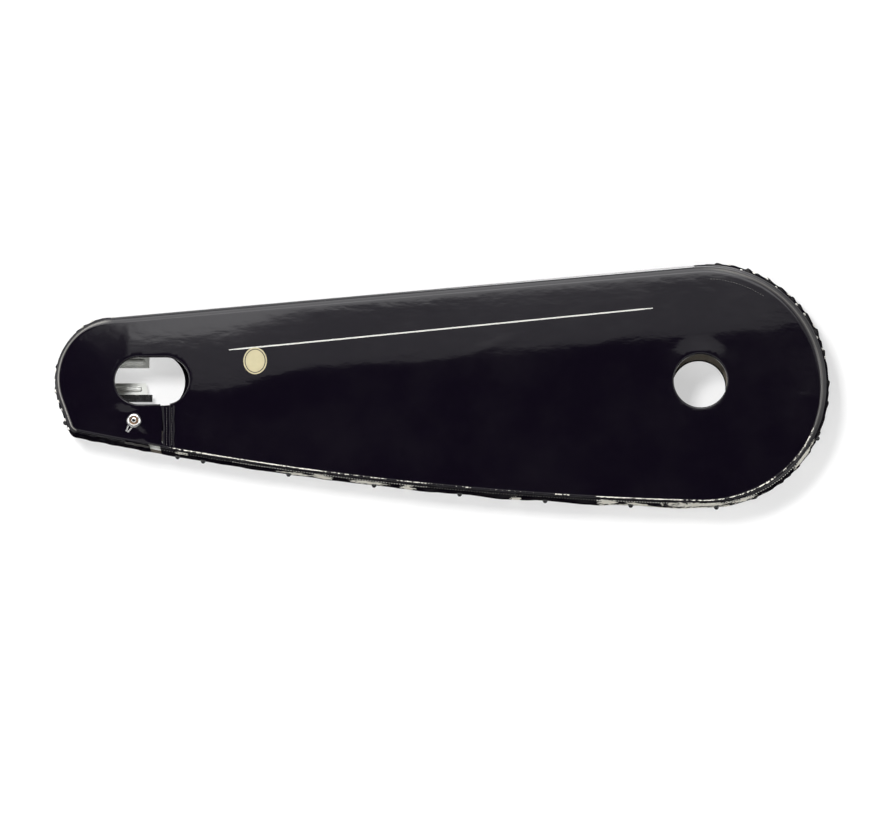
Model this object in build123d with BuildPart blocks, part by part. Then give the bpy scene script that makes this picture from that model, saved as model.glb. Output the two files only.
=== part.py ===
from build123d import *
import os
from math import acos, atan2, cos, degrees, pi, radians, sin, sqrt
from types import SimpleNamespace

# Bicycle chain guard: a coated-cloth case stretched over a wire frame.
# Origin on the crank axis, half way through the case.
# +X points forward, -Y outward from the bicycle and +Z up. Millimetres.

# Case
case_depth = 42.0
cloth = 1.0
fold_radius = 6.0
axle_distance = 492.0

# Outline of the back face: two round ends, a straight top and a bowed bottom
crank_end_radius = 111.0
crank_end_ahead = 6.5
crank_end_above = 1.8
tail_end_radius = 57.5
tail_end_behind = 32.2
tail_end_above = 6.5
tail_flat_angle = 200.0
tail_corner_radius = 9.0
tail_drop = 58.5
bow_radius = 3100.0

# The front face is smaller than the back face and sits a little lower
crank_end_flare = 3.8
tail_end_flare = 1.8
end_lean = 2.0
end_rise = 4.0

# Openings in the cloth
crank_hole_radius = 24.0
front_slot_length = 66.5
front_slot_width = 42.3
back_slot_length = 67.0
back_slot_width = 52.0
back_slot_behind = 5.5
back_slot_above = 5.0

# Slit under the axle slot, with its turned edge
slit_width = 1.0
slit_ahead = 10.0
binding_width = 10.5

# Hems: the cloth that goes round the edge to the back
crank_seam_angle = -70.0
tail_under_angle = 250.0
hem_gap_behind = 2.6
hem_gap_width = 10.0

# Gathers where the cloth goes round the two ends
pleat_run = 3.5
pleat_turn = 1.5
pleat_height = 1.4
pleat_root = 0.4
pleat_fade = 0.25
crank_pleat_pitch = 12.0
tail_pleat_pitch = 9.5
pleat_margin = 7.0

# Wire frame
wire_diameter = 4.0
spacer_diameter = 3.0
stay_diameter = 3.0
crank_spacer_angles = (72.0, 18.0, -38.0)
tail_spacer_angles = (118.0, 172.0)
top_spacer_shares = (0.36, 0.7)
bottom_spacer_shares = (0.3, 0.62)
stay_count = 2
stay_spacing = 150.0
first_stay_ahead = 162.0

# Axle fork, a pressed plate welded to the back wire
fork_plate = 1.5
fork_gap = 14.0
fork_gap_above = 10.6
prong_height = 10.7
prong_reach = 4.2
lower_prong_short = 3.0
prong_slant = 2.5
fork_base_behind = 47.0
fork_foot = 8.0
fork_root_radius = 5.0
bead_radius = 2.6
bead_end_margin = 6.0

# Strip riveted under the lower prong
strip_height = 6.5
strip_thickness = 2.0
strip_reach = 1.2
strip_tail = 20.0

# Rivets through the fork and the strip
fork_rivet_radius = 1.5
fork_rivet_head_radius = 2.8
fork_rivet_head_height = 1.2
fork_rivet_tail_height = 0.8
fork_rivet_count = 2
fork_rivet_spacing = 11.0
fork_rivet_inset = 6.0

# Press stud under the axle slot
stud_behind = 16.0
stud_below = 36.0
cap_radius = 6.5
cap_height = 3.0
cap_edge = 0.8
cap_shoulder = 2.2
cap_rounding = 1.0
cap_standoff = 1.6
cap_dimple_radius = 2.4
cap_dimple_depth = 0.6
post_radius = 2.0
post_flange_radius = 2.5
post_flange_thickness = 0.4
socket_radius = 5.0
socket_web = 0.8
socket_depth = 1.6
socket_recess_radius = 2.9
ball_radius = 2.6
ball_neck_radius = 2.2
ball_height = 1.1
ball_base_thickness = 0.6
eyelet_radius = 4.5
eyelet_thickness = 0.8
eyelet_post_radius = 1.6

# Hairpin clip round the stud's post
hairpin_diameter = 1.5
hairpin_reach = 11.5
hairpin_heading = 238.0
hairpin_taper = 9.0

# Tongue that closes the slit from inside
tongue_height = 18.0
tongue_lap = 16.0
tongue_lap_short = 2.0
tongue_ramp = 10.0
tongue_past_stud = 12.0

# Rivets along the hem
rivet_radius = 1.2
rivet_head_radius = 2.5
rivet_head_height = 2.8
rivet_shoulder_inset = 0.5
rivet_shoulder_height = 1.7
rivet_tip_inset = 1.5
rivet_clinch_radius = 1.7
rivet_clinch_thickness = 0.5
rivet_from_back = 7.0
rivet_pitch = 77.0
rivet_count = 7
first_rivet_ahead = 45.0
slit_rivet_ahead = 22.0
tail_rivet_angle = 220.0
crank_rivet_angle = -26.0

# Clearances
seat_gap = 0.3
fit_gap = 0.05

# Faces of the case
front_y = -case_depth / 2
back_y = case_depth / 2
wall_end_y = back_y - cloth
hem_seam_y = front_y + fold_radius


def unit(angle):
    """Unit vector at an angle in radians."""
    return Vector(cos(angle), sin(angle))


def outline(front_share, inset=0.0):
    """Points of the case's outline in X and Z: share 0 is the back face and 1 the front face."""
    lean = front_share * end_lean
    rise = front_share * end_rise
    crank = Vector(crank_end_ahead - lean, crank_end_above - rise)
    tail = Vector(-axle_distance - tail_end_behind + lean, tail_end_above - rise)
    crank_radius = crank_end_radius - front_share * crank_end_flare - inset
    tail_radius = tail_end_radius - front_share * tail_end_flare - inset
    corner_radius = tail_corner_radius - inset
    bow = bow_radius - inset

    # The top edge touches both ends
    axis = crank - tail
    axis_angle = atan2(axis.Y, axis.X)
    top_angle = axis_angle + acos((tail_radius - crank_radius) / axis.length)

    # The bottom edge is a wide arc that touches the crank end and passes under the tail end
    crank_reach = bow - crank_radius
    tail_reach = bow_radius - tail_drop + rise
    spread = (crank_reach**2 - tail_reach**2 - axis.length**2) / (2 * axis.length)
    lift = sqrt(tail_reach**2 - spread**2)
    bow_centre = tail - unit(axis_angle) * spread + unit(axis_angle + pi / 2) * lift

    # The tail end runs straight down to a small rounded corner
    flat_out = unit(radians(tail_flat_angle))
    flat_down = unit(radians(tail_flat_angle) + pi / 2)
    corner_line = tail + flat_out * (tail_radius - corner_radius)
    offset = corner_line - bow_centre
    along = offset.dot(flat_down)
    run = sqrt(along**2 + (bow - corner_radius) ** 2 - offset.dot(offset)) - along
    corner = corner_line + flat_down * run

    return SimpleNamespace(
        crank=crank,
        crank_radius=crank_radius,
        tail=tail,
        tail_radius=tail_radius,
        corner=corner,
        corner_radius=corner_radius,
        bow_centre=bow_centre,
        bow=bow,
        top_angle=top_angle,
        crank_top=crank + unit(top_angle) * crank_radius,
        tail_top=tail + unit(top_angle) * tail_radius,
        flat_start=tail + flat_out * tail_radius,
        flat_end=corner + flat_out * corner_radius,
        bow_start=bow_centre + (corner - bow_centre).normalized() * bow,
        bow_end=crank + (crank - bow_centre).normalized() * crank_radius,
    )


def draw_arc(centre, radius, start, end):
    """Anticlockwise arc between two points of a circle."""
    first = degrees(atan2(start.Y - centre.Y, start.X - centre.X))
    last = degrees(atan2(end.Y - centre.Y, end.X - centre.X))
    CenterArc((centre.X, centre.Y), radius, first, (last - first) % 360)


def draw_outline(edge):
    """Closed outline of the case, for a BuildLine block."""
    Line((edge.crank_top.X, edge.crank_top.Y), (edge.tail_top.X, edge.tail_top.Y))
    draw_arc(edge.tail, edge.tail_radius, edge.tail_top, edge.flat_start)
    Line((edge.flat_start.X, edge.flat_start.Y), (edge.flat_end.X, edge.flat_end.Y))
    draw_arc(edge.corner, edge.corner_radius, edge.flat_end, edge.bow_start)
    draw_arc(edge.bow_centre, edge.bow, edge.bow_start, edge.bow_end)
    draw_arc(edge.crank, edge.crank_radius, edge.bow_end, edge.crank_top)


def at_depth(point, y):
    """Point of an outline placed at a depth."""
    return Vector(point.X, y, point.Y)


def upright(y):
    """Plane of the case's outline at a depth, facing outward."""
    return Plane.XZ.offset(-y)


def case_solid(inset):
    """Closed form of the case with its skin moved inwards."""
    with BuildPart() as form:
        with BuildSketch(upright(wall_end_y)):
            with BuildLine():
                draw_outline(outline(0, inset))
            make_face()
        with BuildSketch(upright(front_y + inset)):
            with BuildLine():
                draw_outline(outline(1, inset))
            make_face()
        loft(ruled=True)
        front_face = form.faces().sort_by(Axis.Y)[0]
        fillet(front_face.edges(), fold_radius - inset)
    return form.part


def finish(piece, name):
    """Label a finished piece and write it."""
    piece.label = name
    export_step(piece, f"parts/{name}.step")


os.makedirs("parts", exist_ok=True)

# Forms that the cloth pieces are cut from
case_form = case_solid(0)
chain_space = case_solid(cloth)
overlay_form = case_solid(-cloth)

with BuildPart() as case_skin:
    add(case_form)
    add(chain_space, mode=Mode.SUBTRACT)

back_edge = outline(0)
far = 2 * crank_end_radius
fan_steps = 6
slit_x = -axle_distance + slit_ahead
gap_right_x = slit_x - hem_gap_behind
gap_left_x = gap_right_x - hem_gap_width
stud_x = -axle_distance - stud_behind
stud_z = -stud_below


def fan(centre, first, last):
    """Points far out from a centre, from one angle to another in degrees."""
    turn = (last - first) / fan_steps
    return [centre + unit(radians(first + turn * step)) * far for step in range(fan_steps + 1)]


top_degrees = degrees(back_edge.top_angle)
crank_fan = fan(back_edge.crank, top_degrees, crank_seam_angle)
tail_fan = fan(back_edge.tail, tail_under_angle, top_degrees)
crank_hem_zone = [back_edge.crank, *crank_fan]
bottom_hem_zone = [back_edge.crank, crank_fan[-1], Vector(gap_right_x, -far), Vector(gap_right_x, 0)]
tail_hem_zone = [Vector(gap_left_x, 0), Vector(gap_left_x, -far), *tail_fan, back_edge.tail]
whole_hem_zone = [back_edge.crank, *crank_fan, *tail_fan, back_edge.tail]


def zone(points, mode):
    """Cut or keep the part of the wall behind the hem's seam that lies in a zone."""
    with BuildSketch(upright(hem_seam_y)) as region:
        with BuildLine():
            Polyline(*[(point.X, point.Y) for point in points], close=True)
        make_face()
    extrude(region.sketch, amount=-case_depth, mode=mode)


def pleats(back_centre, back_radius, front_centre, front_radius, first, last, pitch):
    """Gathers round an end, each a fold that fades towards the front."""
    count = int(radians(last - first) * back_radius / pitch)
    for step in range(count + 1):
        angle = radians(first + (last - first) * step / count)
        tangent = (sin(angle), 0, -cos(angle))
        back_point = at_depth(back_centre + unit(angle) * back_radius, wall_end_y)
        front_point = at_depth(front_centre + unit(angle) * front_radius, hem_seam_y)
        sections = []
        for point, height in ((back_point, pleat_height), (front_point, pleat_height * pleat_fade)):
            with BuildSketch(Plane(point, x_dir=tangent, z_dir=(0, -1, 0))) as section:
                with BuildLine():
                    Polyline(
                        (-pleat_run, -pleat_root),
                        (pleat_turn, -pleat_root),
                        (0, height),
                        close=True,
                    )
                make_face()
            sections.append(section.sketch)
        loft(sections, ruled=True)


def wall_plane(start, direction):
    """Plane on the outside of the case where a line from inside leaves it."""
    way_out = Axis(start, direction)
    hits = [hit for face in case_form.faces() for hit in face.find_intersection_points(way_out)]
    point, normal = max(hits, key=lambda hit: (hit[0] - start).dot(direction))
    return Plane(point, z_dir=normal)


def end_plane(centre, angle):
    """Rivet plane on a round end."""
    direction = Vector(cos(radians(angle)), 0, sin(radians(angle)))
    return wall_plane(at_depth(centre, rivet_y), direction)


# Places of the rivets along the hem
rivet_y = back_y - rivet_from_back
down = Vector(0, 0, -1)
row_x = [-axle_distance + first_rivet_ahead + rivet_pitch * step for step in range(rivet_count)]
slit_rivet_x = -axle_distance + slit_rivet_ahead
bottom_rivets = [wall_plane(Vector(x, rivet_y, 0), down) for x in [slit_rivet_x, *row_x]]
tail_rivets = [end_plane(back_edge.tail, tail_rivet_angle)]
crank_rivets = [end_plane(back_edge.crank, crank_rivet_angle)]


def rivet_holes(planes):
    """Holes for rivets through a hem."""
    for plane in planes:
        with BuildSketch(plane) as hole:
            Circle(rivet_radius + fit_gap)
        extrude(hole.sketch, amount=2 * cloth, both=True, mode=Mode.SUBTRACT)


def rivet_seats(planes):
    """Gathers pressed flat under the heads of rivets."""
    for plane in planes:
        with BuildSketch(plane.offset(fit_gap)) as seat:
            Circle(rivet_head_radius + seat_gap)
        extrude(seat.sketch, amount=rivet_head_height, mode=Mode.SUBTRACT)


def slot_cut(length, width, centre_x, centre_z):
    """Axle slot in a sketch."""
    with Locations((centre_x, centre_z)):
        SlotOverall(length, width)


# Front cover, with the cloth that folds over the top
with BuildPart() as front_cover:
    add(case_skin.part)
    zone(whole_hem_zone, Mode.SUBTRACT)
    with BuildSketch(upright(front_y)):
        Circle(crank_hole_radius)
        slot_cut(front_slot_length, front_slot_width, -axle_distance, 0)
        with Locations((slit_x - slit_width / 2, 0)):
            Rectangle(slit_width, far, align=(Align.CENTER, Align.MAX))
        with Locations((stud_x, stud_z)):
            Circle(post_radius + fit_gap)
    extrude(amount=-fold_radius, mode=Mode.SUBTRACT)

# Back panel
with BuildPart() as back_panel:
    with BuildSketch(upright(back_y)):
        with BuildLine():
            draw_outline(back_edge)
        make_face()
        Circle(crank_hole_radius, mode=Mode.SUBTRACT)
        with Locations((-axle_distance - back_slot_behind, back_slot_above)):
            SlotOverall(back_slot_length, back_slot_width, mode=Mode.SUBTRACT)
    extrude(amount=cloth)

# Hems round the edge
seam_share = (wall_end_y - hem_seam_y) / (wall_end_y - front_y)
seam_edge = outline(seam_share)
crank_margin = degrees(pleat_margin / crank_end_radius)
tail_margin = degrees(pleat_margin / tail_end_radius)

with BuildPart() as crank_end_hem:
    add(case_skin.part)
    zone(crank_hem_zone, Mode.INTERSECT)
    pleats(
        back_edge.crank,
        back_edge.crank_radius,
        seam_edge.crank,
        seam_edge.crank_radius,
        crank_seam_angle + crank_margin,
        top_degrees - crank_margin,
        crank_pleat_pitch,
    )
    rivet_seats(crank_rivets)
    rivet_holes(crank_rivets)

with BuildPart() as bottom_hem:
    add(case_skin.part)
    zone(bottom_hem_zone, Mode.INTERSECT)
    rivet_holes(bottom_rivets)

with BuildPart() as tail_hem:
    add(case_skin.part)
    zone(tail_hem_zone, Mode.INTERSECT)
    pleats(
        back_edge.tail,
        back_edge.tail_radius,
        seam_edge.tail,
        seam_edge.tail_radius,
        top_degrees + tail_margin,
        tail_flat_angle,
        tail_pleat_pitch,
    )
    rivet_seats(tail_rivets)
    rivet_holes(tail_rivets)

# Turned edge along the slit
with BuildPart() as slit_binding:
    add(overlay_form)
    add(case_form, mode=Mode.SUBTRACT)
    with BuildSketch(upright(front_y - cloth)):
        with Locations((slit_x, 0)):
            Rectangle(binding_width, far, align=(Align.MIN, Align.MAX))
        with Locations((-axle_distance, 0)):
            SlotOverall(front_slot_length, front_slot_width, mode=Mode.SUBTRACT)
    extrude(amount=-fold_radius - cloth, mode=Mode.INTERSECT)

# Wire frame: a loop in each face
wire_radius = wire_diameter / 2
inner_fold = fold_radius - cloth
front_wire_inset = cloth + inner_fold - (inner_fold - wire_radius - seat_gap) * sqrt(0.5)
front_wire_y = front_y + front_wire_inset
wall_lean = (crank_end_flare + end_lean + end_rise) / case_depth
back_wire_y = wall_end_y - seat_gap - wire_radius
back_wire_inset = cloth + seat_gap + wire_radius + wall_lean * (back_y - back_wire_y + wire_radius)
front_loop = outline(1, front_wire_inset)
back_loop = outline(0, back_wire_inset)


def wire_loop(edge, y):
    """Closed loop of round wire along an outline."""
    with BuildPart() as loop:
        with BuildLine(upright(y)) as path:
            draw_outline(edge)
        with BuildSketch(Plane(path.line @ 0, z_dir=path.line % 0)):
            Circle(wire_radius)
        sweep(path=path.wire())
    return loop.part


front_wire = wire_loop(front_loop, front_wire_y)
back_wire = wire_loop(back_loop, back_wire_y)


def on_top(edge, share):
    """Point of the top edge, part of the way from the tail end to the crank end."""
    return edge.tail_top + (edge.crank_top - edge.tail_top) * share


def on_bow(edge, share):
    """Point of the bottom edge, part of the way from the tail end to the crank end."""
    first = edge.bow_start - edge.bow_centre
    last = edge.bow_end - edge.bow_centre
    start_angle = atan2(first.Y, first.X)
    turn = atan2(last.Y, last.X) - start_angle
    return edge.bow_centre + unit(start_angle + turn * share) * edge.bow


# Ends of the rods that join the two loops
spacer_ends = []
for angle in crank_spacer_angles:
    heading = unit(radians(angle))
    spacer_ends.append([loop.crank + heading * loop.crank_radius for loop in (front_loop, back_loop)])
for angle in tail_spacer_angles:
    heading = unit(radians(angle))
    spacer_ends.append([loop.tail + heading * loop.tail_radius for loop in (front_loop, back_loop)])
for share in top_spacer_shares:
    spacer_ends.append([on_top(loop, share) for loop in (front_loop, back_loop)])
for share in bottom_spacer_shares:
    spacer_ends.append([on_bow(loop, share) for loop in (front_loop, back_loop)])

with BuildPart() as frame_spacers:
    for front_end, back_end in spacer_ends:
        start = at_depth(front_end, front_wire_y)
        rod = at_depth(back_end, back_wire_y) - start
        with BuildSketch(Plane(start, z_dir=rod)):
            Circle(spacer_diameter / 2)
        extrude(amount=rod.length)
    add(front_wire, mode=Mode.SUBTRACT)
    add(back_wire, mode=Mode.SUBTRACT)

# Upright stays across the back loop
with BuildPart() as back_stays:
    with BuildSketch(Plane.XY.offset(-far)):
        for step in range(stay_count):
            stay_x = -axle_distance + first_stay_ahead + stay_spacing * step
            with Locations((stay_x, back_wire_y)):
                Circle(stay_diameter / 2)
    extrude(amount=2 * far)
    with BuildSketch(upright(back_wire_y)):
        with BuildLine():
            draw_outline(back_loop)
        make_face()
    extrude(amount=stay_diameter, both=True, mode=Mode.INTERSECT)
    add(back_wire, mode=Mode.SUBTRACT)

# Axle fork: a plate inside the back loop, with a rounded bead pressed along each prong
fork_front_y = back_wire_y - fork_plate / 2
fork_back_y = back_wire_y + fork_plate / 2
upper_prong_z = fork_gap_above + fork_gap / 2
lower_prong_z = fork_gap_above - fork_gap / 2
fork_top_z = upper_prong_z + prong_height
fork_low_z = lower_prong_z - prong_height
fork_foot_z = fork_low_z - fork_foot
prong_end_x = -axle_distance - prong_reach
lower_end_x = prong_end_x - lower_prong_short
base_x = -axle_distance - fork_base_behind
behind_x = -axle_distance - far
bead_starts = (
    (upper_prong_z + prong_height / 2, prong_end_x - bead_end_margin),
    (lower_prong_z - prong_height / 2, lower_end_x - bead_end_margin),
)
bead_length = prong_end_x - bead_end_margin - base_x
strip_z = fork_low_z - strip_height / 2
strip_end_x = -axle_distance - strip_reach
strip_start_x = base_x - strip_tail
first_fork_rivet_x = base_x - fork_rivet_inset
fork_rivet_places = [
    (first_fork_rivet_x - fork_rivet_spacing * step, strip_z) for step in range(fork_rivet_count)
]


def fork_rivet_holes():
    """Holes for the two rivets, in a sketch."""
    with Locations(*fork_rivet_places):
        Circle(fork_rivet_radius + fit_gap, mode=Mode.SUBTRACT)


with BuildPart() as axle_fork:
    with BuildSketch(upright(fork_back_y)):
        with BuildLine():
            Polyline(
                (behind_x, fork_top_z),
                (prong_end_x, fork_top_z),
                (prong_end_x, upper_prong_z),
                (base_x, upper_prong_z),
                (base_x, lower_prong_z),
                (lower_end_x, lower_prong_z),
                (lower_end_x + prong_slant, fork_low_z),
                (base_x, fork_low_z),
                (base_x, fork_foot_z),
                (behind_x, fork_foot_z),
                close=True,
            )
        make_face()
        with BuildLine():
            draw_outline(back_loop)
        make_face(mode=Mode.INTERSECT)
        fork_rivet_holes()
    extrude(amount=fork_plate)
    root_corners = axle_fork.edges().filter_by(Axis.Y).filter_by_position(Axis.X, base_x, base_x)
    fillet(root_corners.filter_by_position(Axis.Z, lower_prong_z, upper_prong_z), fork_root_radius)
    for bead_z, bead_end_x in bead_starts:
        bead_end = Vector(bead_end_x, fork_front_y, bead_z)
        bead_root = bead_end - Vector(bead_length, 0, 0)
        with BuildSketch(Plane(bead_end, x_dir=(0, 0, 1), z_dir=(-1, 0, 0))):
            Circle(bead_radius)
        extrude(amount=bead_length)
        with Locations(bead_end, bead_root):
            Sphere(bead_radius)
    split(bisect_by=upright(fork_back_y), keep=Keep.TOP)
    add(back_wire, mode=Mode.SUBTRACT)

# Strip under the lower prong
with BuildPart() as fork_strip:
    with BuildSketch(upright(fork_front_y)):
        with Locations((strip_start_x, strip_z)):
            Rectangle(strip_end_x - strip_start_x, strip_height, align=(Align.MIN, Align.CENTER))
        fork_rivet_holes()
    extrude(amount=strip_thickness)

# Rivets through the strip and the fork
strip_front_y = fork_front_y - strip_thickness
fork_rivet_ends = (
    (strip_front_y, fork_rivet_head_height),
    (fork_back_y, -fork_rivet_tail_height),
)
with BuildPart() as fork_rivets:
    with BuildSketch(upright(fork_back_y)):
        with Locations(*fork_rivet_places):
            Circle(fork_rivet_radius)
    extrude(amount=fork_plate + strip_thickness)
    for head_y, rise in fork_rivet_ends:
        with BuildSketch(upright(head_y)):
            with Locations(*fork_rivet_places):
                Circle(fork_rivet_head_radius)
        extrude(amount=rise)
    head_circles = fork_rivets.edges().filter_by(GeomType.CIRCLE).group_by(Axis.Y)[0]
    chamfer(head_circles, fork_rivet_head_height / 2)


def turned(plane, *profile):
    """Solid turned about a plane's normal from points of radius and height."""
    side = plane.x_dir.cross(plane.z_dir)
    with BuildSketch(Plane(plane.origin, x_dir=plane.x_dir, z_dir=side)) as section:
        with BuildLine():
            Polyline(*profile, close=True)
        make_face()
    revolve(section.sketch, axis=Axis(plane.origin, plane.z_dir))


# Press stud: heights are counted outward from the front face
stud_plane = Plane((stud_x, front_y, stud_z), x_dir=(1, 0, 0), z_dir=(0, -1, 0))
socket_top = -cloth
web_under = socket_top - socket_web
socket_under = web_under - socket_depth
ball_base_top = socket_under
ball_base_under = ball_base_top - ball_base_thickness
tongue_under = ball_base_under - cloth
cap_top = cap_standoff + cap_height

with BuildPart() as stud_cap:
    turned(
        stud_plane,
        (0, web_under - post_flange_thickness),
        (post_flange_radius, web_under - post_flange_thickness),
        (post_flange_radius, web_under),
        (post_radius, web_under),
        (post_radius, cap_standoff),
        (cap_radius, cap_standoff),
        (cap_radius, cap_standoff + cap_edge),
        (cap_radius - cap_shoulder, cap_top),
        (cap_dimple_radius, cap_top),
        (cap_dimple_radius, cap_top - cap_dimple_depth),
        (0, cap_top - cap_dimple_depth),
    )
    top_circles = stud_cap.edges().filter_by(GeomType.CIRCLE).group_by(Axis.Y)[0]
    fillet(top_circles.sort_by(SortBy.RADIUS)[-1], cap_rounding)

with BuildPart() as stud_socket:
    turned(
        stud_plane,
        (post_radius + fit_gap, socket_top),
        (socket_radius, socket_top),
        (socket_radius, socket_under),
        (socket_recess_radius, socket_under),
        (socket_recess_radius, web_under),
        (post_radius + fit_gap, web_under),
    )

with BuildPart() as stud_ball:
    turned(
        stud_plane,
        (0, ball_base_under),
        (socket_radius, ball_base_under),
        (socket_radius, ball_base_top),
        (ball_neck_radius, ball_base_top),
        (ball_radius, ball_base_top + ball_height / 2),
        (ball_neck_radius, ball_base_top + ball_height),
        (0, ball_base_top + ball_height),
    )

with BuildPart() as stud_eyelet:
    turned(
        stud_plane,
        (0, tongue_under - eyelet_thickness),
        (eyelet_radius, tongue_under - eyelet_thickness),
        (eyelet_radius, tongue_under),
        (eyelet_post_radius, tongue_under),
        (eyelet_post_radius, ball_base_under),
        (0, ball_base_under),
    )

# Hairpin clip under the cap: a bend round the post and two legs that draw together
hairpin_radius = hairpin_diameter / 2
bend_radius = post_radius + fit_gap + hairpin_radius
bend_start = 90.0 - hairpin_taper
leg = hairpin_reach / cos(radians(hairpin_taper))
hairpin_way = unit(radians(hairpin_heading))
hairpin_origin = (stud_x, front_y - cap_standoff / 2, stud_z)
hairpin_plane = Plane(hairpin_origin, x_dir=at_depth(hairpin_way, 0), z_dir=(0, -1, 0))

with BuildPart() as stud_hairpin:
    with BuildLine(hairpin_plane) as pin_path:
        bend = CenterArc((0, 0), bend_radius, bend_start, 360 - 2 * bend_start)
        PolarLine(bend @ 0, leg, -hairpin_taper)
        PolarLine(bend @ 1, leg, hairpin_taper)
    pin_wire = pin_path.wire()
    with BuildSketch(Plane(pin_wire @ 0, z_dir=pin_wire % 0)):
        Circle(hairpin_radius)
    sweep(path=pin_wire)

# Tongue sewn behind the slit, stepped back to the stud
sewn_y = front_y + cloth + cloth / 2
stepped_y = front_y - (ball_base_under + tongue_under) / 2
tongue_step_x = slit_x - slit_width - tongue_lap_short
with BuildPart() as slit_tongue:
    with BuildSketch(Plane.XY.offset(stud_z - tongue_height / 2)):
        with BuildLine():
            Polyline(
                (slit_x + tongue_lap, sewn_y),
                (tongue_step_x, sewn_y),
                (tongue_step_x - tongue_ramp, stepped_y),
                (stud_x - tongue_past_stud, stepped_y),
            )
        trace(line_width=cloth)
    extrude(amount=tongue_height)
    with BuildSketch(upright(front_y)):
        with Locations((stud_x, stud_z)):
            Circle(eyelet_post_radius + fit_gap)
    extrude(amount=-case_depth / 2, mode=Mode.SUBTRACT)

# Rivets along the hem
with BuildPart() as hem_rivets:
    for plane in [*bottom_rivets, *tail_rivets, *crank_rivets]:
        turned(
            plane,
            (0, -cloth - fit_gap - rivet_clinch_thickness),
            (rivet_clinch_radius, -cloth - fit_gap - rivet_clinch_thickness),
            (rivet_clinch_radius, -cloth - fit_gap),
            (rivet_radius, -cloth - fit_gap),
            (rivet_radius, fit_gap),
            (rivet_head_radius, fit_gap),
            (rivet_head_radius - rivet_shoulder_inset, rivet_shoulder_height),
            (rivet_head_radius - rivet_tip_inset, rivet_head_height),
            (0, rivet_head_height),
        )

finish(front_cover.part, "front_cover")
finish(back_panel.part, "back_panel")
finish(crank_end_hem.part, "crank_end_hem")
finish(bottom_hem.part, "bottom_hem")
finish(tail_hem.part, "tail_hem")
finish(slit_binding.part, "slit_binding")
finish(slit_tongue.part, "slit_tongue")
finish(front_wire, "front_wire")
finish(back_wire, "back_wire")
finish(frame_spacers.part, "frame_spacers")
finish(back_stays.part, "back_stays")
finish(axle_fork.part, "axle_fork")
finish(fork_strip.part, "fork_strip")
finish(fork_rivets.part, "fork_rivets")
finish(stud_cap.part, "stud_cap")
finish(stud_socket.part, "stud_socket")
finish(stud_ball.part, "stud_ball")
finish(stud_eyelet.part, "stud_eyelet")
finish(stud_hairpin.part, "stud_hairpin")
finish(hem_rivets.part, "hem_rivets")
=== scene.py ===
import math
from types import SimpleNamespace

import bpy
import bmesh
from bpy.props import FloatProperty, FloatVectorProperty, PointerProperty
from mathutils import Matrix, Vector
from mathutils.geometry import delaunay_2d_cdt


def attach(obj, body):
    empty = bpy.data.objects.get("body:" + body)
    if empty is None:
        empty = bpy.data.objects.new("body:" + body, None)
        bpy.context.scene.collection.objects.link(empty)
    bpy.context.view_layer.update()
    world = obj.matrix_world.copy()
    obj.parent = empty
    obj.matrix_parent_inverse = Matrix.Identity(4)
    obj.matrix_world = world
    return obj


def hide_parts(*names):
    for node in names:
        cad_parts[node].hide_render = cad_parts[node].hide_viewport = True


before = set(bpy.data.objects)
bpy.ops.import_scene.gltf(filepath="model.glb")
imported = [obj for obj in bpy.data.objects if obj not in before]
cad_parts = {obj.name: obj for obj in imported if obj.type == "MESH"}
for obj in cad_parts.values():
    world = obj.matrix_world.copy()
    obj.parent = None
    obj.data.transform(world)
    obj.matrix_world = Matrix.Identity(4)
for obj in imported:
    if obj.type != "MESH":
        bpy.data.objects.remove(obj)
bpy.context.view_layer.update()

bl_info = {
    "name": "Bicycle chain guard",
    "version": (1, 0, 0),
    "blender": (4, 5, 0),
    "location": "View3D > Sidebar > Chain guard",
    "description": "Dresses a coated-cloth chain guard over its wire frame",
    "category": "Object",
}

MM = 0.001

# Tilts of a flat piece
LEVEL = 0.0
UPRIGHT = math.radians(90)


def length(name, description, default_mm):
    """Property for a length, given in millimetres."""
    return FloatProperty(name=name, description=description, default=default_mm * MM, unit="LENGTH")


def turn(name, description, default_degrees):
    """Property for an angle, given in degrees."""
    return FloatProperty(
        name=name, description=description, default=math.radians(default_degrees), subtype="ANGLE"
    )


def colour(name, description, default):
    """Property for a colour."""
    return FloatVectorProperty(name=name, description=description, default=default, subtype="COLOR", size=3)


def lamp_power(name, description, default_watts):
    """Property for a lamp's power, given in watts."""
    return FloatProperty(name=name, description=description, default=default_watts, unit="POWER")


def plain_number(name, description, default):
    """Property for a number without a unit."""
    return FloatProperty(name=name, description=description, default=default)


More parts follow.
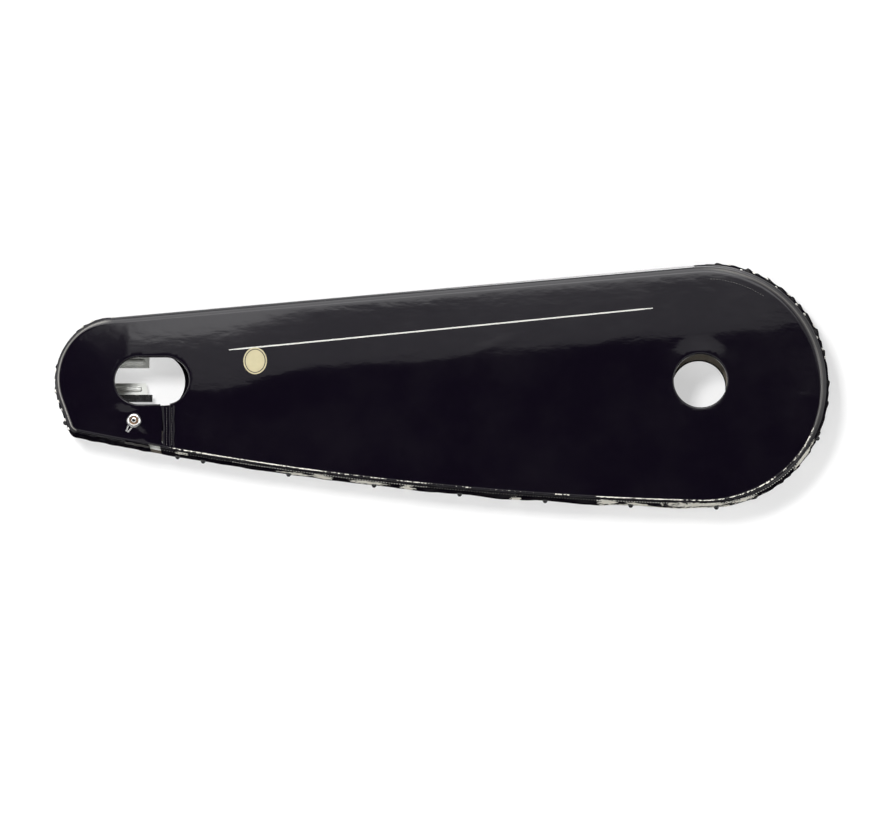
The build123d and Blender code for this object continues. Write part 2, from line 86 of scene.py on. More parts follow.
class GuardCase(bpy.types.PropertyGroup):
    """Sizes of the cloth case."""

    depth: length("Depth", "Depth of the case from face to face", 42.0)
    cloth: length("Cloth", "Thickness of the coated cloth", 0.8)
    axle_distance: length("Axle distance", "From the crank axis to the axle slot", 492.0)
    crank_end_radius: length("Crank end radius", "Round end at the crank, back face", 111.0)
    crank_end_ahead: length("Crank end ahead", "Round end's centre ahead of the crank axis", 6.5)
    crank_end_above: length("Crank end above", "Round end's centre above the crank axis", 1.8)
    crank_end_flare: length("Crank end flare", "How much smaller the front face is at the crank", 3.8)
    tail_end_radius: length("Tail end radius", "Round end at the axle, back face", 57.5)
    tail_end_behind: length("Tail end behind", "Round end's centre behind the axle slot", 32.2)
    tail_end_above: length("Tail end above", "Round end's centre above the crank axis", 6.5)
    tail_end_flare: length("Tail end flare", "How much smaller the front face is at the tail", 1.8)
    tail_flat_angle: turn("Tail flat", "Where the tail end turns into a straight flank", 200.0)
    tail_corner_radius: length("Tail corner", "Rounding of the lower tail corner", 9.0)
    tail_drop: length("Tail drop", "Bottom edge below the tail's centre", 58.5)
    bow_radius: length("Bow radius", "Radius of the bowed bottom edge", 3100.0)
    end_lean: length("End lean", "Front face's ends nearer to each other", 2.0)
    end_rise: length("End rise", "Front face below the back face", 4.0)
    crank_hole: length("Crank hole", "Radius of the crank hole", 24.0)
    slot_length: length("Slot length", "Axle slot in the front face", 66.5)
    slot_width: length("Slot width", "Axle slot in the front face", 42.3)
    back_slot_length: length("Back slot length", "Axle slot in the back face", 67.0)
    back_slot_width: length("Back slot width", "Axle slot in the back face", 52.0)
    slit_x: length("Slit", "Place of the slit under the axle slot", -482.0)
    slit_width: length("Slit width", "Width of the slit", 1.0)
    binding_width: length("Binding width", "Width of the turned edge beside the slit", 10.5)
    hem_gap_left: length("Gap's rear end", "Rear end of the gap in the hem", -494.6)
    hem_gap_right: length("Gap's front end", "Front end of the gap in the hem", -484.6)
    crank_seam: turn("Crank seam", "Where the gathered hem meets the plain one", -70.0)
    top_fold: length("Top fold", "Radius of the fold along the top", 7.0)
    end_fold: length("End fold", "Radius of the fold round the ends", 4.0)
    bottom_fold: length("Bottom fold", "Radius of the fold along the bottom", 2.6)
    shoulder: length("Shoulder", "From the top fold to the fullest line of the face", 65.0)
    tail_shoulder: length("Tail shoulder", "The same near the axle slot", 81.0)
    stud_shoulder: length("Stud shoulder", "The same beside the stud", 58.0)
    bead: length("Bead", "How far the edge stands out where it turns over the wire", 0.9)
    lip: length("Lip", "Radius of the turned edge of the openings", 1.6)
    stud_x: length("Stud X", "Place of the press stud", -508.0)
    stud_z: length("Stud Z", "Place of the press stud", -36.0)
    pleat: length("Pleat", "Height of the gathers round the ends", 1.1)
    crank_pleat_pitch: length("Crank pleats", "Distance between gathers at the crank end", 12.0)
    tail_pleat_pitch: length("Tail pleats", "Distance between gathers at the tail end", 9.5)


class GuardFinish(bpy.types.PropertyGroup):
    """Colours of the guard's finishes."""

    coat: colour("Coat", "Black coating of the cloth", (0.0032, 0.0021, 0.0052))
    dust: colour("Dust", "Dulled coating where dust sits", (0.0060, 0.0048, 0.0078))
    lining: colour("Lining", "Woven inner side of the cloth", (0.36, 0.32, 0.26))
    lining_gap: colour("Lining gap", "Between the threads of the lining", (0.06, 0.052, 0.042))
    # Painted highlight: this grey is painted along the bead at the ends and on the gathers of the hems; the
    # tail flap's grey cloth is a darker share of it
    scuff_and_highlight: colour("Scuff", "Coating worn grey where it turns over the wire", (0.24, 0.23, 0.215))
    # Painted reflection: cream painted in ragged patches along the bottom hem and in a thin line along the
    # bottom fold
    reflection_cream: colour("Raw edge", "Uncoated cloth that shows along the bottom", (0.88, 0.85, 0.76))
    # Painted highlight: this pale thread stands for glints on the lit stretches of the bottom seam and on the
    # tacks; the black thread is a dark share of it
    thread: colour("Thread", "Sewing thread", (0.84, 0.82, 0.76))
    badge: colour("Badge", "Plain badge under the line", (0.46, 0.41, 0.25))
    line: colour("Line", "Pressed-on line", (0.60, 0.60, 0.56))
    zinc: colour("Zinc", "Zinc-coated steel", (0.90, 0.91, 0.87))
    zinc_dull: colour("Dull zinc", "Zinc with oxide", (0.78, 0.80, 0.75))
    enamel: colour("Enamel", "Black enamel", (0.008, 0.008, 0.009))
    chrome: colour("Chrome", "Bright plating", (0.70, 0.70, 0.69))
    brass: colour("Brass", "Plain brass", (0.36, 0.23, 0.14))


class GuardStage(bpy.types.PropertyGroup):
    """Camera, lamps and backdrop."""

    camera_distance: length("Camera distance", "From the camera to the guard", 6000.0)
    camera_elevation: turn("Camera elevation", "Camera above the guard's level", -8.3)
    aim_x: length("Aim X", "Point that the camera looks at", -229.2)
    aim_z: length("Aim Z", "Point that the camera looks at", -23.2)
    lens: plain_number("Lens", "Focal length in millimetres", 269.7)
    top_power: lamp_power("Top lamp", "Power of the top lamp", 80.0)
    upper_power: lamp_power("Upper lamp", "Power of the upper lamp", 42.0)
    key_power: lamp_power("Key lamp", "Power of the key lamp", 84.0)
    side_power: lamp_power("Side lamps", "Power of each side lamp", 18.0)
    low_power: lamp_power("Low lamp", "Power of the low lamp", 12.0)
    back_power: lamp_power("Back lamp", "Power of the lamp behind", 40.0)
    ambient: plain_number("Ambient", "Light from all round", 0.25)
    wall: colour("Wall", "Backdrop and floor", (0.44, 0.44, 0.44))
    glow: plain_number("Glow", "Brightness of the backdrop by itself", 0.53)
    floor_glow: plain_number("Floor glow", "Brightness of the floor by itself", 0.85)


def unit(angle):
    """Unit vector at an angle."""
    return Vector((math.cos(angle), math.sin(angle)))


def at_depth(point, y):
    """Point of the X-Z plane at a depth."""
    return Vector((point.x, y, point.y))


def mix(first, last, share):
    """Value part of the way between two."""
    return first + (last - first) * share


def smooth(low, high, value):
    """Smooth step from 0 at low to 1 at high."""
    share = min(max((value - low) / (high - low), 0.0), 1.0)
    return share * share * (3.0 - 2.0 * share)


def outline(case, front_share):
    """Outline of the case in X and Z: share 0 is the back face and 1 the front face."""
    lean = front_share * case.end_lean
    rise = front_share * case.end_rise
    crank = Vector((case.crank_end_ahead - lean, case.crank_end_above - rise))
    tail = Vector((-case.axle_distance - case.tail_end_behind + lean, case.tail_end_above - rise))
    crank_radius = case.crank_end_radius - front_share * case.crank_end_flare
    tail_radius = case.tail_end_radius - front_share * case.tail_end_flare
    corner_radius = case.tail_corner_radius
    bow = case.bow_radius
    axis = crank - tail
    axis_angle = math.atan2(axis.y, axis.x)
    top_angle = axis_angle + math.acos((tail_radius - crank_radius) / axis.length)
    crank_reach = bow - crank_radius
    tail_reach = bow - case.tail_drop + rise
    spread = (crank_reach**2 - tail_reach**2 - axis.length**2) / (2 * axis.length)
    lift = math.sqrt(tail_reach**2 - spread**2)
    bow_centre = tail - unit(axis_angle) * spread + unit(axis_angle + math.pi / 2) * lift
    flat_out = unit(case.tail_flat_angle)
    flat_down = unit(case.tail_flat_angle + math.pi / 2)
    corner_line = tail + flat_out * (tail_radius - corner_radius)
    offset = corner_line - bow_centre
    along = offset.dot(flat_down)
    run = math.sqrt(along**2 + (bow - corner_radius) ** 2 - offset.dot(offset)) - along
    corner = corner_line + flat_down * run
    low = corner - bow_centre
    lowest = crank - bow_centre
    return SimpleNamespace(
        crank=crank,
        crank_radius=crank_radius,
        tail=tail,
        tail_radius=tail_radius,
        corner=corner,
        corner_radius=corner_radius,
        bow_centre=bow_centre,
        bow=bow,
        top_angle=top_angle,
        flat_angle=case.tail_flat_angle,
        low_angle=math.atan2(low.y, low.x) % math.tau,
        lowest_angle=math.atan2(lowest.y, lowest.x),
        seam_angle=case.crank_seam,
        bow_start=bow_centre + low.normalized() * bow,
        bow_end=crank + lowest.normalized() * crank_radius,
        gap_left=case.hem_gap_left,
        gap_right=case.hem_gap_right,
    )


def outline_point(edge, span, share):
    """Point of an outline and its outward direction."""
    if span == "top":
        out = unit(edge.top_angle)
        return mix(edge.crank + out * edge.crank_radius, edge.tail + out * edge.tail_radius, share), out
    if span == "tail":
        out = unit(mix(edge.top_angle, edge.flat_angle, share))
        return edge.tail + out * edge.tail_radius, out
    if span == "flat":
        out = unit(edge.flat_angle)
        return mix(edge.tail + out * edge.tail_radius, edge.corner + out * edge.corner_radius, share), out
    if span == "corner":
        out = unit(mix(edge.flat_angle, edge.low_angle, share))
        return edge.corner + out * edge.corner_radius, out
    if span == "under_crank":
        out = unit(mix(edge.lowest_angle, edge.seam_angle, share))
        return edge.crank + out * edge.crank_radius, out
    if span == "crank":
        out = unit(mix(edge.seam_angle, edge.top_angle, share))
        return edge.crank + out * edge.crank_radius, out
    ends = {
        "under_tail": (edge.bow_start.x, edge.gap_left),
        "gap": (edge.gap_left, edge.gap_right),
        "bottom": (edge.gap_right, edge.bow_end.x),
    }
    x = mix(*ends[span], share)
    drop = math.sqrt(edge.bow**2 - (x - edge.bow_centre.x) ** 2)
    point = Vector((x, edge.bow_centre.y - drop))
    return point, (point - edge.bow_centre).normalized()


# Stations along each part of the outline, anticlockwise as the front face is seen
RIM_SPANS = (
    ("top", 180),
    ("tail", 44),
    ("flat", 14),
    ("corner", 8),
    ("under_tail", 28),
    ("gap", 6),
    ("bottom", 180),
    ("under_crank", 14),
    ("crank", 150),
)


def stations(case, spans, closed=False):
    """Points on the back and front outlines that belong together, with their outward directions."""
    back = outline(case, 0)
    front = outline(case, 1)
    made = []
    for number, (span, count) in enumerate(spans):
        last = count if closed or number < len(spans) - 1 else count + 1
        for step in range(last):
            share = step / count
            front_point, front_out = outline_point(front, span, share)
            back_point, back_out = outline_point(back, span, share)
            made.append(
                SimpleNamespace(
                    span=span,
                    share=share,
                    front=front_point,
                    front_out=front_out,
                    back=back_point,
                    back_out=back_out,
                )
            )
    return made


def wall_point(case, station, y):
    """Point of the leaning wall at a depth, with its outward direction."""
    front_y = -case.depth / 2
    share = (y - front_y) / case.depth
    point = mix(station.front, station.back, share)
    out = mix(station.front_out, station.back_out, share).normalized()
    return point, out


def fold_radius(case, station):
    """Radius of the fold, which is full along the top and sharp along the bottom."""
    if station.span == "top":
        return case.top_fold
    if station.span == "tail":
        return mix(case.top_fold, case.end_fold, smooth(0.0, 0.35, station.share))
    if station.span == "crank":
        return mix(case.end_fold, case.top_fold, smooth(0.15, 0.6, station.share))
    if station.span == "flat":
        return case.end_fold
    if station.span == "corner":
        return mix(case.end_fold, case.bottom_fold, station.share)
    if station.span == "under_crank":
        return mix(case.bottom_fold, case.end_fold, station.share)
    return case.bottom_fold


def soft_least(first, last, width):
    """The lesser of two values, with a rounded corner between them."""
    return min(first, last) - width * math.log1p(math.exp(-abs(first - last) / width))


# Creases of the face: middle, heading in degrees, half length, half width and height in millimetres
CREASES = (
    (-510.0, -50.0, -22.0, 15.0, 1.5, 0.24),
    (-497.0, -52.0, -38.0, 11.0, 3.2, 0.85),
    (-511.0, -22.5, 2.0, 8.0, 4.2, 0.75),
    (-462.0, -27.0, -24.0, 9.0, 2.2, 0.22),
    (-189.0, 31.0, 20.0, 26.0, 4.0, 0.16),
    (-246.0, 14.0, 8.0, 30.0, 5.0, 0.12),
    (-60.0, 44.0, 12.0, 34.0, 6.0, 0.12),
    (92.0, -14.0, -8.0, 8.0, 2.2, 0.22),
)


def crease_height(point):
    """Height of the small creases at a point of the face."""
    height = 0.0
    for x, z, heading, long, wide, rise in CREASES:
        apart = point / MM - Vector((x, z))
        way = unit(math.radians(heading))
        along = apart.dot(way) / long
        across = (apart.y * way.x - apart.x * way.y) / wide
        height += rise * MM * math.exp(-along * along - across * across)
    return height


# Stretches along X where the face hangs slack, and where the stud draws it in
SLACK_STRETCH = (-440.0 * MM, -345.0 * MM)
STUD_STRETCH = (-480.0 * MM, -452.0 * MM)

# Taut and slack face: its slope, the run of the curl under the top fold in millimetres, and the curl's rise
FACE_SLOPE = (0.062, 0.036)
CURL_RUN = (8.0, 24.0)
CURL_RISE = (0.10, 0.17)

# Crease across the tail, behind which the face falls away
TAIL_CREASE_X = -513.5 * MM


def face_height(case, edge, point):
    """How far the front face stands out from its flat plane."""
    x = max(point.x, TAIL_CREASE_X)
    from_crank = Vector((x, point.y)) - edge.crank
    below_top = max(edge.crank_radius - from_crank.dot(unit(edge.top_angle)), 0.0)
    above_bottom = max(edge.bow - (point - edge.bow_centre).length, 0.0)

    # The face slopes out from the top fold to a shoulder and then back to the bottom fold
    slack = 1.0 - smooth(*SLACK_STRETCH, x)
    shoulder = mix(case.shoulder, case.tail_shoulder, slack)
    shoulder = mix(case.stud_shoulder, shoulder, smooth(*STUD_STRETCH, x))
    slope = mix(*FACE_SLOPE, slack)
    curl = mix(*CURL_RUN, slack) * MM
    curl_rise = mix(*CURL_RISE, slack) * curl
    outward = slope * below_top + curl_rise * (1.0 - math.exp(-below_top / curl))
    fullest = slope * shoulder + curl_rise * (1.0 - math.exp(-shoulder / curl))
    shortest_fall = 52.0 * MM
    inward = fullest * above_bottom / max(above_bottom + below_top - shoulder, shortest_fall)
    ridge_width = 0.4 * MM
    height = soft_least(outward, inward, ridge_width)

    # It falls away ahead of the crank and behind a crease at the tail, and rises above the crank hole
    height *= 1.0 - 0.6 * smooth(0.25, 0.95, from_crank.x / edge.crank_radius)
    tail_tip = edge.tail.x - edge.tail_radius
    height *= min((point.x - tail_tip) / (TAIL_CREASE_X - tail_tip), 1.0)
    rim_rise = 1.7 * MM
    rim = 1.0 - smooth(case.crank_hole - 6.0 * MM, case.crank_hole + 18.0 * MM, point.length)
    height += rim_rise * rim * max(point.y / max(point.length, MM), 0.0)

    # The stud holds it down and draws three shallow folds towards itself
    held_height = 1.0 * MM
    from_stud = point - Vector((case.stud_x, case.stud_z))
    drawn = 1.0 + 0.22 * math.cos(3.0 * math.atan2(from_stud.y, from_stud.x) + 0.4)
    held = 1.0 - smooth(6.0 * MM, 27.0 * MM, from_stud.length * drawn)
    height = mix(height, min(height, held_height), held)
    return max(height, 0.0) + crease_height(point)


def face_point(case, edge, point, lift=0.0):
    """Point of the front face, with its height."""
    return at_depth(point, -case.depth / 2 - face_height(case, edge, point) - lift)


def slot_loop(centre, slot_length, slot_width, steps):
    """Points round a slot with round ends, anticlockwise from the start of its lower edge."""
    radius = slot_width / 2
    half = slot_length / 2 - radius
    right = Vector((centre.x + half, centre.y))
    left = Vector((centre.x - half, centre.y))
    straight = max(int(2 * half / (math.pi * radius) * steps), 2)
    points = [Vector((mix(left.x, right.x, step / straight), centre.y - radius)) for step in range(straight)]
    points += [right + unit(math.pi * (step / steps - 0.5)) * radius for step in range(steps)]
    points += [Vector((mix(right.x, left.x, step / straight), centre.y + radius)) for step in range(straight)]
    points += [left + unit(math.pi * (step / steps + 0.5)) * radius for step in range(steps)]
    return points


def circle_loop(centre, radius, steps):
    """Points round a circle."""
    return [centre + unit(math.tau * step / steps) * radius for step in range(steps)]


def nearest(point, loop):
    """Distance from a point to the nearest point of a loop."""
    return min((point - other).length for other in loop)


def within(point, loop):
    """Whether a point lies inside a closed loop."""
    odd = False
    before = loop[-1]
    for after in loop:
        if (after.y > point.y) != (before.y > point.y):
            share = (point.y - after.y) / (before.y - after.y)
            if point.x < mix(after.x, before.x, share):
                odd = not odd
        before = after
    return odd


def fill_flat(outer, holes, spacing, slant, inside):
    """Triangles that fill an outline round its holes, on rows of points that run at a slant."""
    points = list(outer)
    borders = []
    start = 0
    loops = [outer, *holes]
    for loop in loops:
        if start:
            points += loop
        count = len(loop)
        borders += [(start + step, start + (step + 1) % count) for step in range(count)]
        start += count
    along = unit(slant)
    up = unit(slant + math.pi / 2)
    first = min(point.dot(along) for point in outer)
    last = max(point.dot(along) for point in outer)
    low = min(point.dot(up) for point in outer)
    high = max(point.dot(up) for point in outer)
    rise = spacing * math.sqrt(0.75)
    close_rows = (0.3, 0.62)
    drops = [share * rise for share in close_rows]
    drops += [row * rise for row in range(1, int((high - low) / rise) + 1)]
    for row, drop in enumerate(drops):
        shift = spacing / 2 if row % 2 else 0.0
        for column in range(int((last - first) / spacing) + 1):
            point = along * (first + shift + column * spacing) + up * (high - drop)
            if inside(point):
                points.append(point)
    inner_triangles = 1
    tolerance = 1e-7
    flat, _, triangles, origins, _, _ = delaunay_2d_cdt(points, borders, [], inner_triangles, tolerance)
    place = {}
    for number, sources in enumerate(origins):
        for source in sources:
            place[source] = number
    boxes = [(min(point.x for point in hole), max(point.x for point in hole)) for hole in holes]
    faces = []
    for triangle in triangles:
        middle = sum((flat[corner] for corner in triangle), Vector((0.0, 0.0))) / len(triangle)
        open_here = any(
            left < middle.x < right and within(middle, hole) for hole, (left, right) in zip(holes, boxes)
        )
        if not open_here:
            faces.append(tuple(triangle))
    rims = []
    start = 0
    for loop in loops:
        rims.append([place[start + step] for step in range(len(loop))])
        start += len(loop)
    return flat, faces, rims


def select_only(piece):
    """Select one object, and make it the active one."""
    bpy.ops.object.select_all(action="DESELECT")
    bpy.context.view_layer.objects.active = piece
    piece.select_set(True)


def new_object(name, mesh):
    """Object for a mesh, selected by itself."""
    made = bpy.data.objects.new(name, mesh)
    bpy.context.scene.collection.objects.link(made)
    select_only(made)
    return made


def make_sheet(name, points, faces, thickness, materials, tilt=35.0, marks=None, kinds=None):
    """Object for a sheet of cloth: the outside is given, and the thickness goes inwards."""
    mesh = bpy.data.meshes.new(name)
    mesh.from_pydata([tuple(point) for point in points], [], faces)
    for mark, values in (marks or {}).items():
        layer = mesh.attributes.new(mark, "FLOAT", "POINT")
        layer.data.foreach_set("value", values)
    for material in materials:
        mesh.materials.append(material)
    if kinds:
        mesh.polygons.foreach_set("material_index", kinds)
    sheet = new_object(name, mesh)
    solid = sheet.modifiers.new("thickness", "SOLIDIFY")
    solid.thickness = thickness
    solid.offset = -1.0
    solid.use_even_offset = True
    solid.material_offset = 1 if len(materials) > 1 else 0
    bpy.ops.object.modifier_apply(modifier=solid.name)
    bpy.ops.object.shade_smooth_by_angle(angle=math.radians(tilt))
    return sheet


def strip_faces(columns, rows):
    """Quads between rows of points that follow one another."""
    faces = []
    for row in range(rows - 1):
        near = row * columns
        far = near + columns
        for step in range(columns - 1):
            faces.append((near + step, far + step, far + step + 1, near + step + 1))
    return faces


# Node trees
def node(tree, kind, settings=None, **inputs):
    """Node with its settings and the values of its sockets."""
    made = tree.nodes.new(kind)
    for key, value in (settings or {}).items():
        setattr(made, key, value)
    for key, value in inputs.items():
        made.inputs[key.replace("_", " ")].default_value = value
    return made


def link(tree, source, target):
    """Link from one socket to another."""
    tree.links.new(source, target)


def arithmetic(tree, operation, first, second=0.0):
    """Math node on one or two sockets or values."""
    made = tree.nodes.new("ShaderNodeMath")
    made.operation = operation
    for socket, value in zip(made.inputs, (first, second)):
        if isinstance(value, (int, float)):
            socket.default_value = value
        else:
            tree.links.new(value, socket)
    return made.outputs[0]


def new_group(name, inputs, outputs):
    """Shader node group with number inputs and the given outputs."""
    tree = bpy.data.node_groups.new(name, "ShaderNodeTree")
    for socket, default in inputs:
        made = tree.interface.new_socket(socket, in_out="INPUT", socket_type="NodeSocketFloat")
        made.default_value = default
    for socket, kind in outputs:
        tree.interface.new_socket(socket, in_out="OUTPUT", socket_type=kind)
    return tree, tree.nodes.new("NodeGroupInput"), tree.nodes.new("NodeGroupOutput")


def grain_group():
    """Grain and dust of a coating, from where a point lies on the piece."""
    name = "coating_grain"
    if name in bpy.data.node_groups:
        return bpy.data.node_groups[name]
    tree, given, result = new_group(
        name,
        (("Grain", 700.0), ("Streak", 3.0), ("Dust", 18.0), ("Ripple", 0.0)),
        (("Height", "NodeSocketFloat"), ("Dust", "NodeSocketFloat")),
    )
    place = node(tree, "ShaderNodeTexCoord")
    squeeze = node(tree, "ShaderNodeVectorMath", {"operation": "DIVIDE"})
    stretch = node(tree, "ShaderNodeCombineXYZ", None, Y=1.0, Z=1.0)
    link(tree, given.outputs["Streak"], stretch.inputs["X"])
    link(tree, place.outputs["Object"], squeeze.inputs[0])
    link(tree, stretch.outputs[0], squeeze.inputs[1])
    fine = node(tree, "ShaderNodeTexNoise", None, Detail=3.0, Roughness=0.6)
    link(tree, squeeze.outputs[0], fine.inputs["Vector"])
    link(tree, given.outputs["Grain"], fine.inputs["Scale"])
    cells = node(tree, "ShaderNodeTexVoronoi", {"feature": "SMOOTH_F1"}, Smoothness=0.4)
    link(tree, place.outputs["Object"], cells.inputs["Vector"])
    link(tree, given.outputs["Grain"], cells.inputs["Scale"])
    cell_height = arithmetic(tree, "MULTIPLY", cells.outputs["Distance"], 0.35)
    height = arithmetic(tree, "ADD", fine.outputs["Fac"], cell_height)
    slow = node(tree, "ShaderNodeTexNoise", None, Detail=2.0, Roughness=0.5)
    link(tree, squeeze.outputs[0], slow.inputs["Vector"])
    link(tree, arithmetic(tree, "MULTIPLY", given.outputs["Grain"], 0.3), slow.inputs["Scale"])
    ripple = arithmetic(tree, "MULTIPLY", slow.outputs["Fac"], given.outputs["Ripple"])
    link(tree, arithmetic(tree, "ADD", height, ripple), result.inputs["Height"])
    cloud = node(tree, "ShaderNodeTexNoise", None, Detail=5.0, Roughness=0.65)
    link(tree, place.outputs["Object"], cloud.inputs["Vector"])
    link(tree, given.outputs["Dust"], cloud.inputs["Scale"])
    spread = node(tree, "ShaderNodeMapRange", None, From_Min=0.42, From_Max=0.8)
    link(tree, cloud.outputs["Fac"], spread.inputs["Value"])
    link(tree, spread.outputs["Result"], result.inputs["Dust"])
    return tree


def thread_arch(tree, place):
    """Round section of a thread, from a place counted in threads."""
    turned = arithmetic(tree, "MULTIPLY", place, math.pi)
    return arithmetic(tree, "ABSOLUTE", arithmetic(tree, "SINE", turned))


def weave_group():
    """Plain weave of threads along X and Z, from where a point lies on the piece."""
    name = "plain_weave"
    if name in bpy.data.node_groups:
        return bpy.data.node_groups[name]
    tree, given, result = new_group(name, (("Threads", 900.0),), (("Height", "NodeSocketFloat"),))
    place = node(tree, "ShaderNodeTexCoord")
    scaled = node(tree, "ShaderNodeVectorMath", {"operation": "SCALE"})
    link(tree, place.outputs["Object"], scaled.inputs[0])
    link(tree, given.outputs["Threads"], scaled.inputs["Scale"])
    parts = node(tree, "ShaderNodeSeparateXYZ")
    link(tree, scaled.outputs[0], parts.inputs[0])
    across = arithmetic(tree, "ADD", parts.outputs["X"], parts.outputs["Y"])
    column = arithmetic(tree, "FLOOR", across)
    row = arithmetic(tree, "FLOOR", parts.outputs["Z"])
    over = arithmetic(tree, "MODULO", arithmetic(tree, "ADD", column, row), 2.0)
    choose = node(tree, "ShaderNodeMix", {"data_type": "FLOAT"})
    link(tree, arithmetic(tree, "ABSOLUTE", over), choose.inputs["Factor"])
    link(tree, thread_arch(tree, across), choose.inputs["A"])
    link(tree, thread_arch(tree, parts.outputs["Z"]), choose.inputs["B"])
    link(tree, choose.outputs["Result"], result.inputs["Height"])
    return tree


def reflection_patch_group():
    """Ragged mask of the painted reflection's patches, and a mottle of the rest."""
    name = "torn_coating"
    if name in bpy.data.node_groups:
        return bpy.data.node_groups[name]
    tree, given, result = new_group(
        name,
        (("Bare", 0.0), ("Scale", 260.0)),
        (("Mask", "NodeSocketFloat"), ("Mottle", "NodeSocketFloat")),
    )
    place = node(tree, "ShaderNodeTexCoord")
    ragged = node(tree, "ShaderNodeTexNoise", None, Detail=4.0, Roughness=0.65)
    link(tree, place.outputs["Object"], ragged.inputs["Vector"])
    link(tree, given.outputs["Scale"], ragged.inputs["Scale"])
    uneven = arithmetic(tree, "MULTIPLY", arithmetic(tree, "SUBTRACT", ragged.outputs["Fac"], 0.5), 14.0)
    fading = arithmetic(tree, "SUBTRACT", 1.0, given.outputs["Bare"])
    fading = arithmetic(tree, "MULTIPLY", fading, given.outputs["Bare"])
    level = arithmetic(tree, "ADD", given.outputs["Bare"], arithmetic(tree, "MULTIPLY", fading, uneven))
    mask = node(tree, "ShaderNodeMapRange", {"interpolation_type": "SMOOTHSTEP"}, From_Min=0.45, From_Max=0.6)
    link(tree, level, mask.inputs["Value"])
    link(tree, mask.outputs["Result"], result.inputs["Mask"])
    mottle = node(tree, "ShaderNodeMapRange", None, From_Min=0.45, From_Max=0.72)
    link(tree, ragged.outputs["Fac"], mottle.inputs["Value"])
    link(tree, mottle.outputs["Result"], result.inputs["Mottle"])
    return tree


def new_material(name, **inputs):
    """Material with a Principled shader and its plain values."""
    material = bpy.data.materials.new(name)
    material.use_nodes = True
    shader = material.node_tree.nodes["Principled BSDF"]
    for key, value in inputs.items():
        shader.inputs[key.replace("_", " ")].default_value = value
    return material, material.node_tree, shader


def bump(tree, shader, height, depth):
    """Bump from a height, in metres."""
    made = node(tree, "ShaderNodeBump", None, Strength=1.0, Distance=depth)
    link(tree, height, made.inputs["Height"])
    link(tree, made.outputs["Normal"], shader.inputs["Normal"])


def blend_colour(tree, factor, first, last):
    """Colour between two by a mask."""
    made = node(tree, "ShaderNodeMix", {"data_type": "RGBA"})
    made.inputs["A"].default_value = (*first, 1.0)
    made.inputs["B"].default_value = (*last, 1.0)
    link(tree, factor, made.inputs["Factor"])
    return made.outputs["Result"]


def spread_value(tree, factor, low, high):
    """Value between two by a mask."""
    made = node(tree, "ShaderNodeMapRange", None, To_Min=low, To_Max=high)
    link(tree, factor, made.inputs["Value"])
    return made.outputs["Result"]


def shade(tint, share):
    """Colour made darker or lighter by a share."""
    return tuple(value * share for value in tint)


def grain_node(tree, **values):
    """Node of the coating's grain."""
    return node(tree, "ShaderNodeGroup", {"node_tree": grain_group()}, **values)


def reflection_patch_mask(tree, scale):
    """Ragged painted reflection where a piece's mark says so."""
    reflection_patches = node(tree, "ShaderNodeGroup", {"node_tree": reflection_patch_group()}, Scale=scale)
    shown = node(tree, "ShaderNodeAttribute", {"attribute_name": "painted_reflection"})
    link(tree, shown.outputs["Fac"], reflection_patches.inputs["Bare"])
    return reflection_patches


def coated_cloth(finish):
    """Glossy black coating with fine grain, a little dust, painted grey highlight along the bead, and painted
    cream reflection along the bottom fold.
    """
    name = "gloss_black_cloth"
    if name in bpy.data.materials:
        return bpy.data.materials[name]
    material, tree, shader = new_material(name, Specular_IOR_Level=0.27)
    grain = grain_node(tree, Grain=420.0, Streak=2.0, Dust=14.0, Ripple=7.0)
    dusty = blend_colour(tree, grain.outputs["Dust"], finish.coat, finish.dust)
    # Painted highlight: grey painted along the bead, where the mesh's mark says
    worn = node(tree, "ShaderNodeAttribute", {"attribute_name": "painted_highlight"})
    highlighted = blend_colour(tree, worn.outputs["Fac"], finish.coat, finish.scuff_and_highlight)
    link(tree, dusty, highlighted.node.inputs["A"])
    # Painted reflection: cream along the bottom fold
    reflection_patches = reflection_patch_mask(tree, 420.0)
    reflected = blend_colour(tree, reflection_patches.outputs["Mask"], finish.coat, finish.reflection_cream)
    link(tree, highlighted, reflected.node.inputs["A"])
    link(tree, reflected, shader.inputs["Base Color"])
    gloss = spread_value(tree, grain.outputs["Dust"], 0.10, 0.17)
    dulled = arithmetic(tree, "MULTIPLY", worn.outputs["Fac"], 0.12)
    link(tree, arithmetic(tree, "ADD", gloss, dulled), shader.inputs["Roughness"])
    bump(tree, shader, grain.outputs["Height"], 0.016 * MM)
    return material


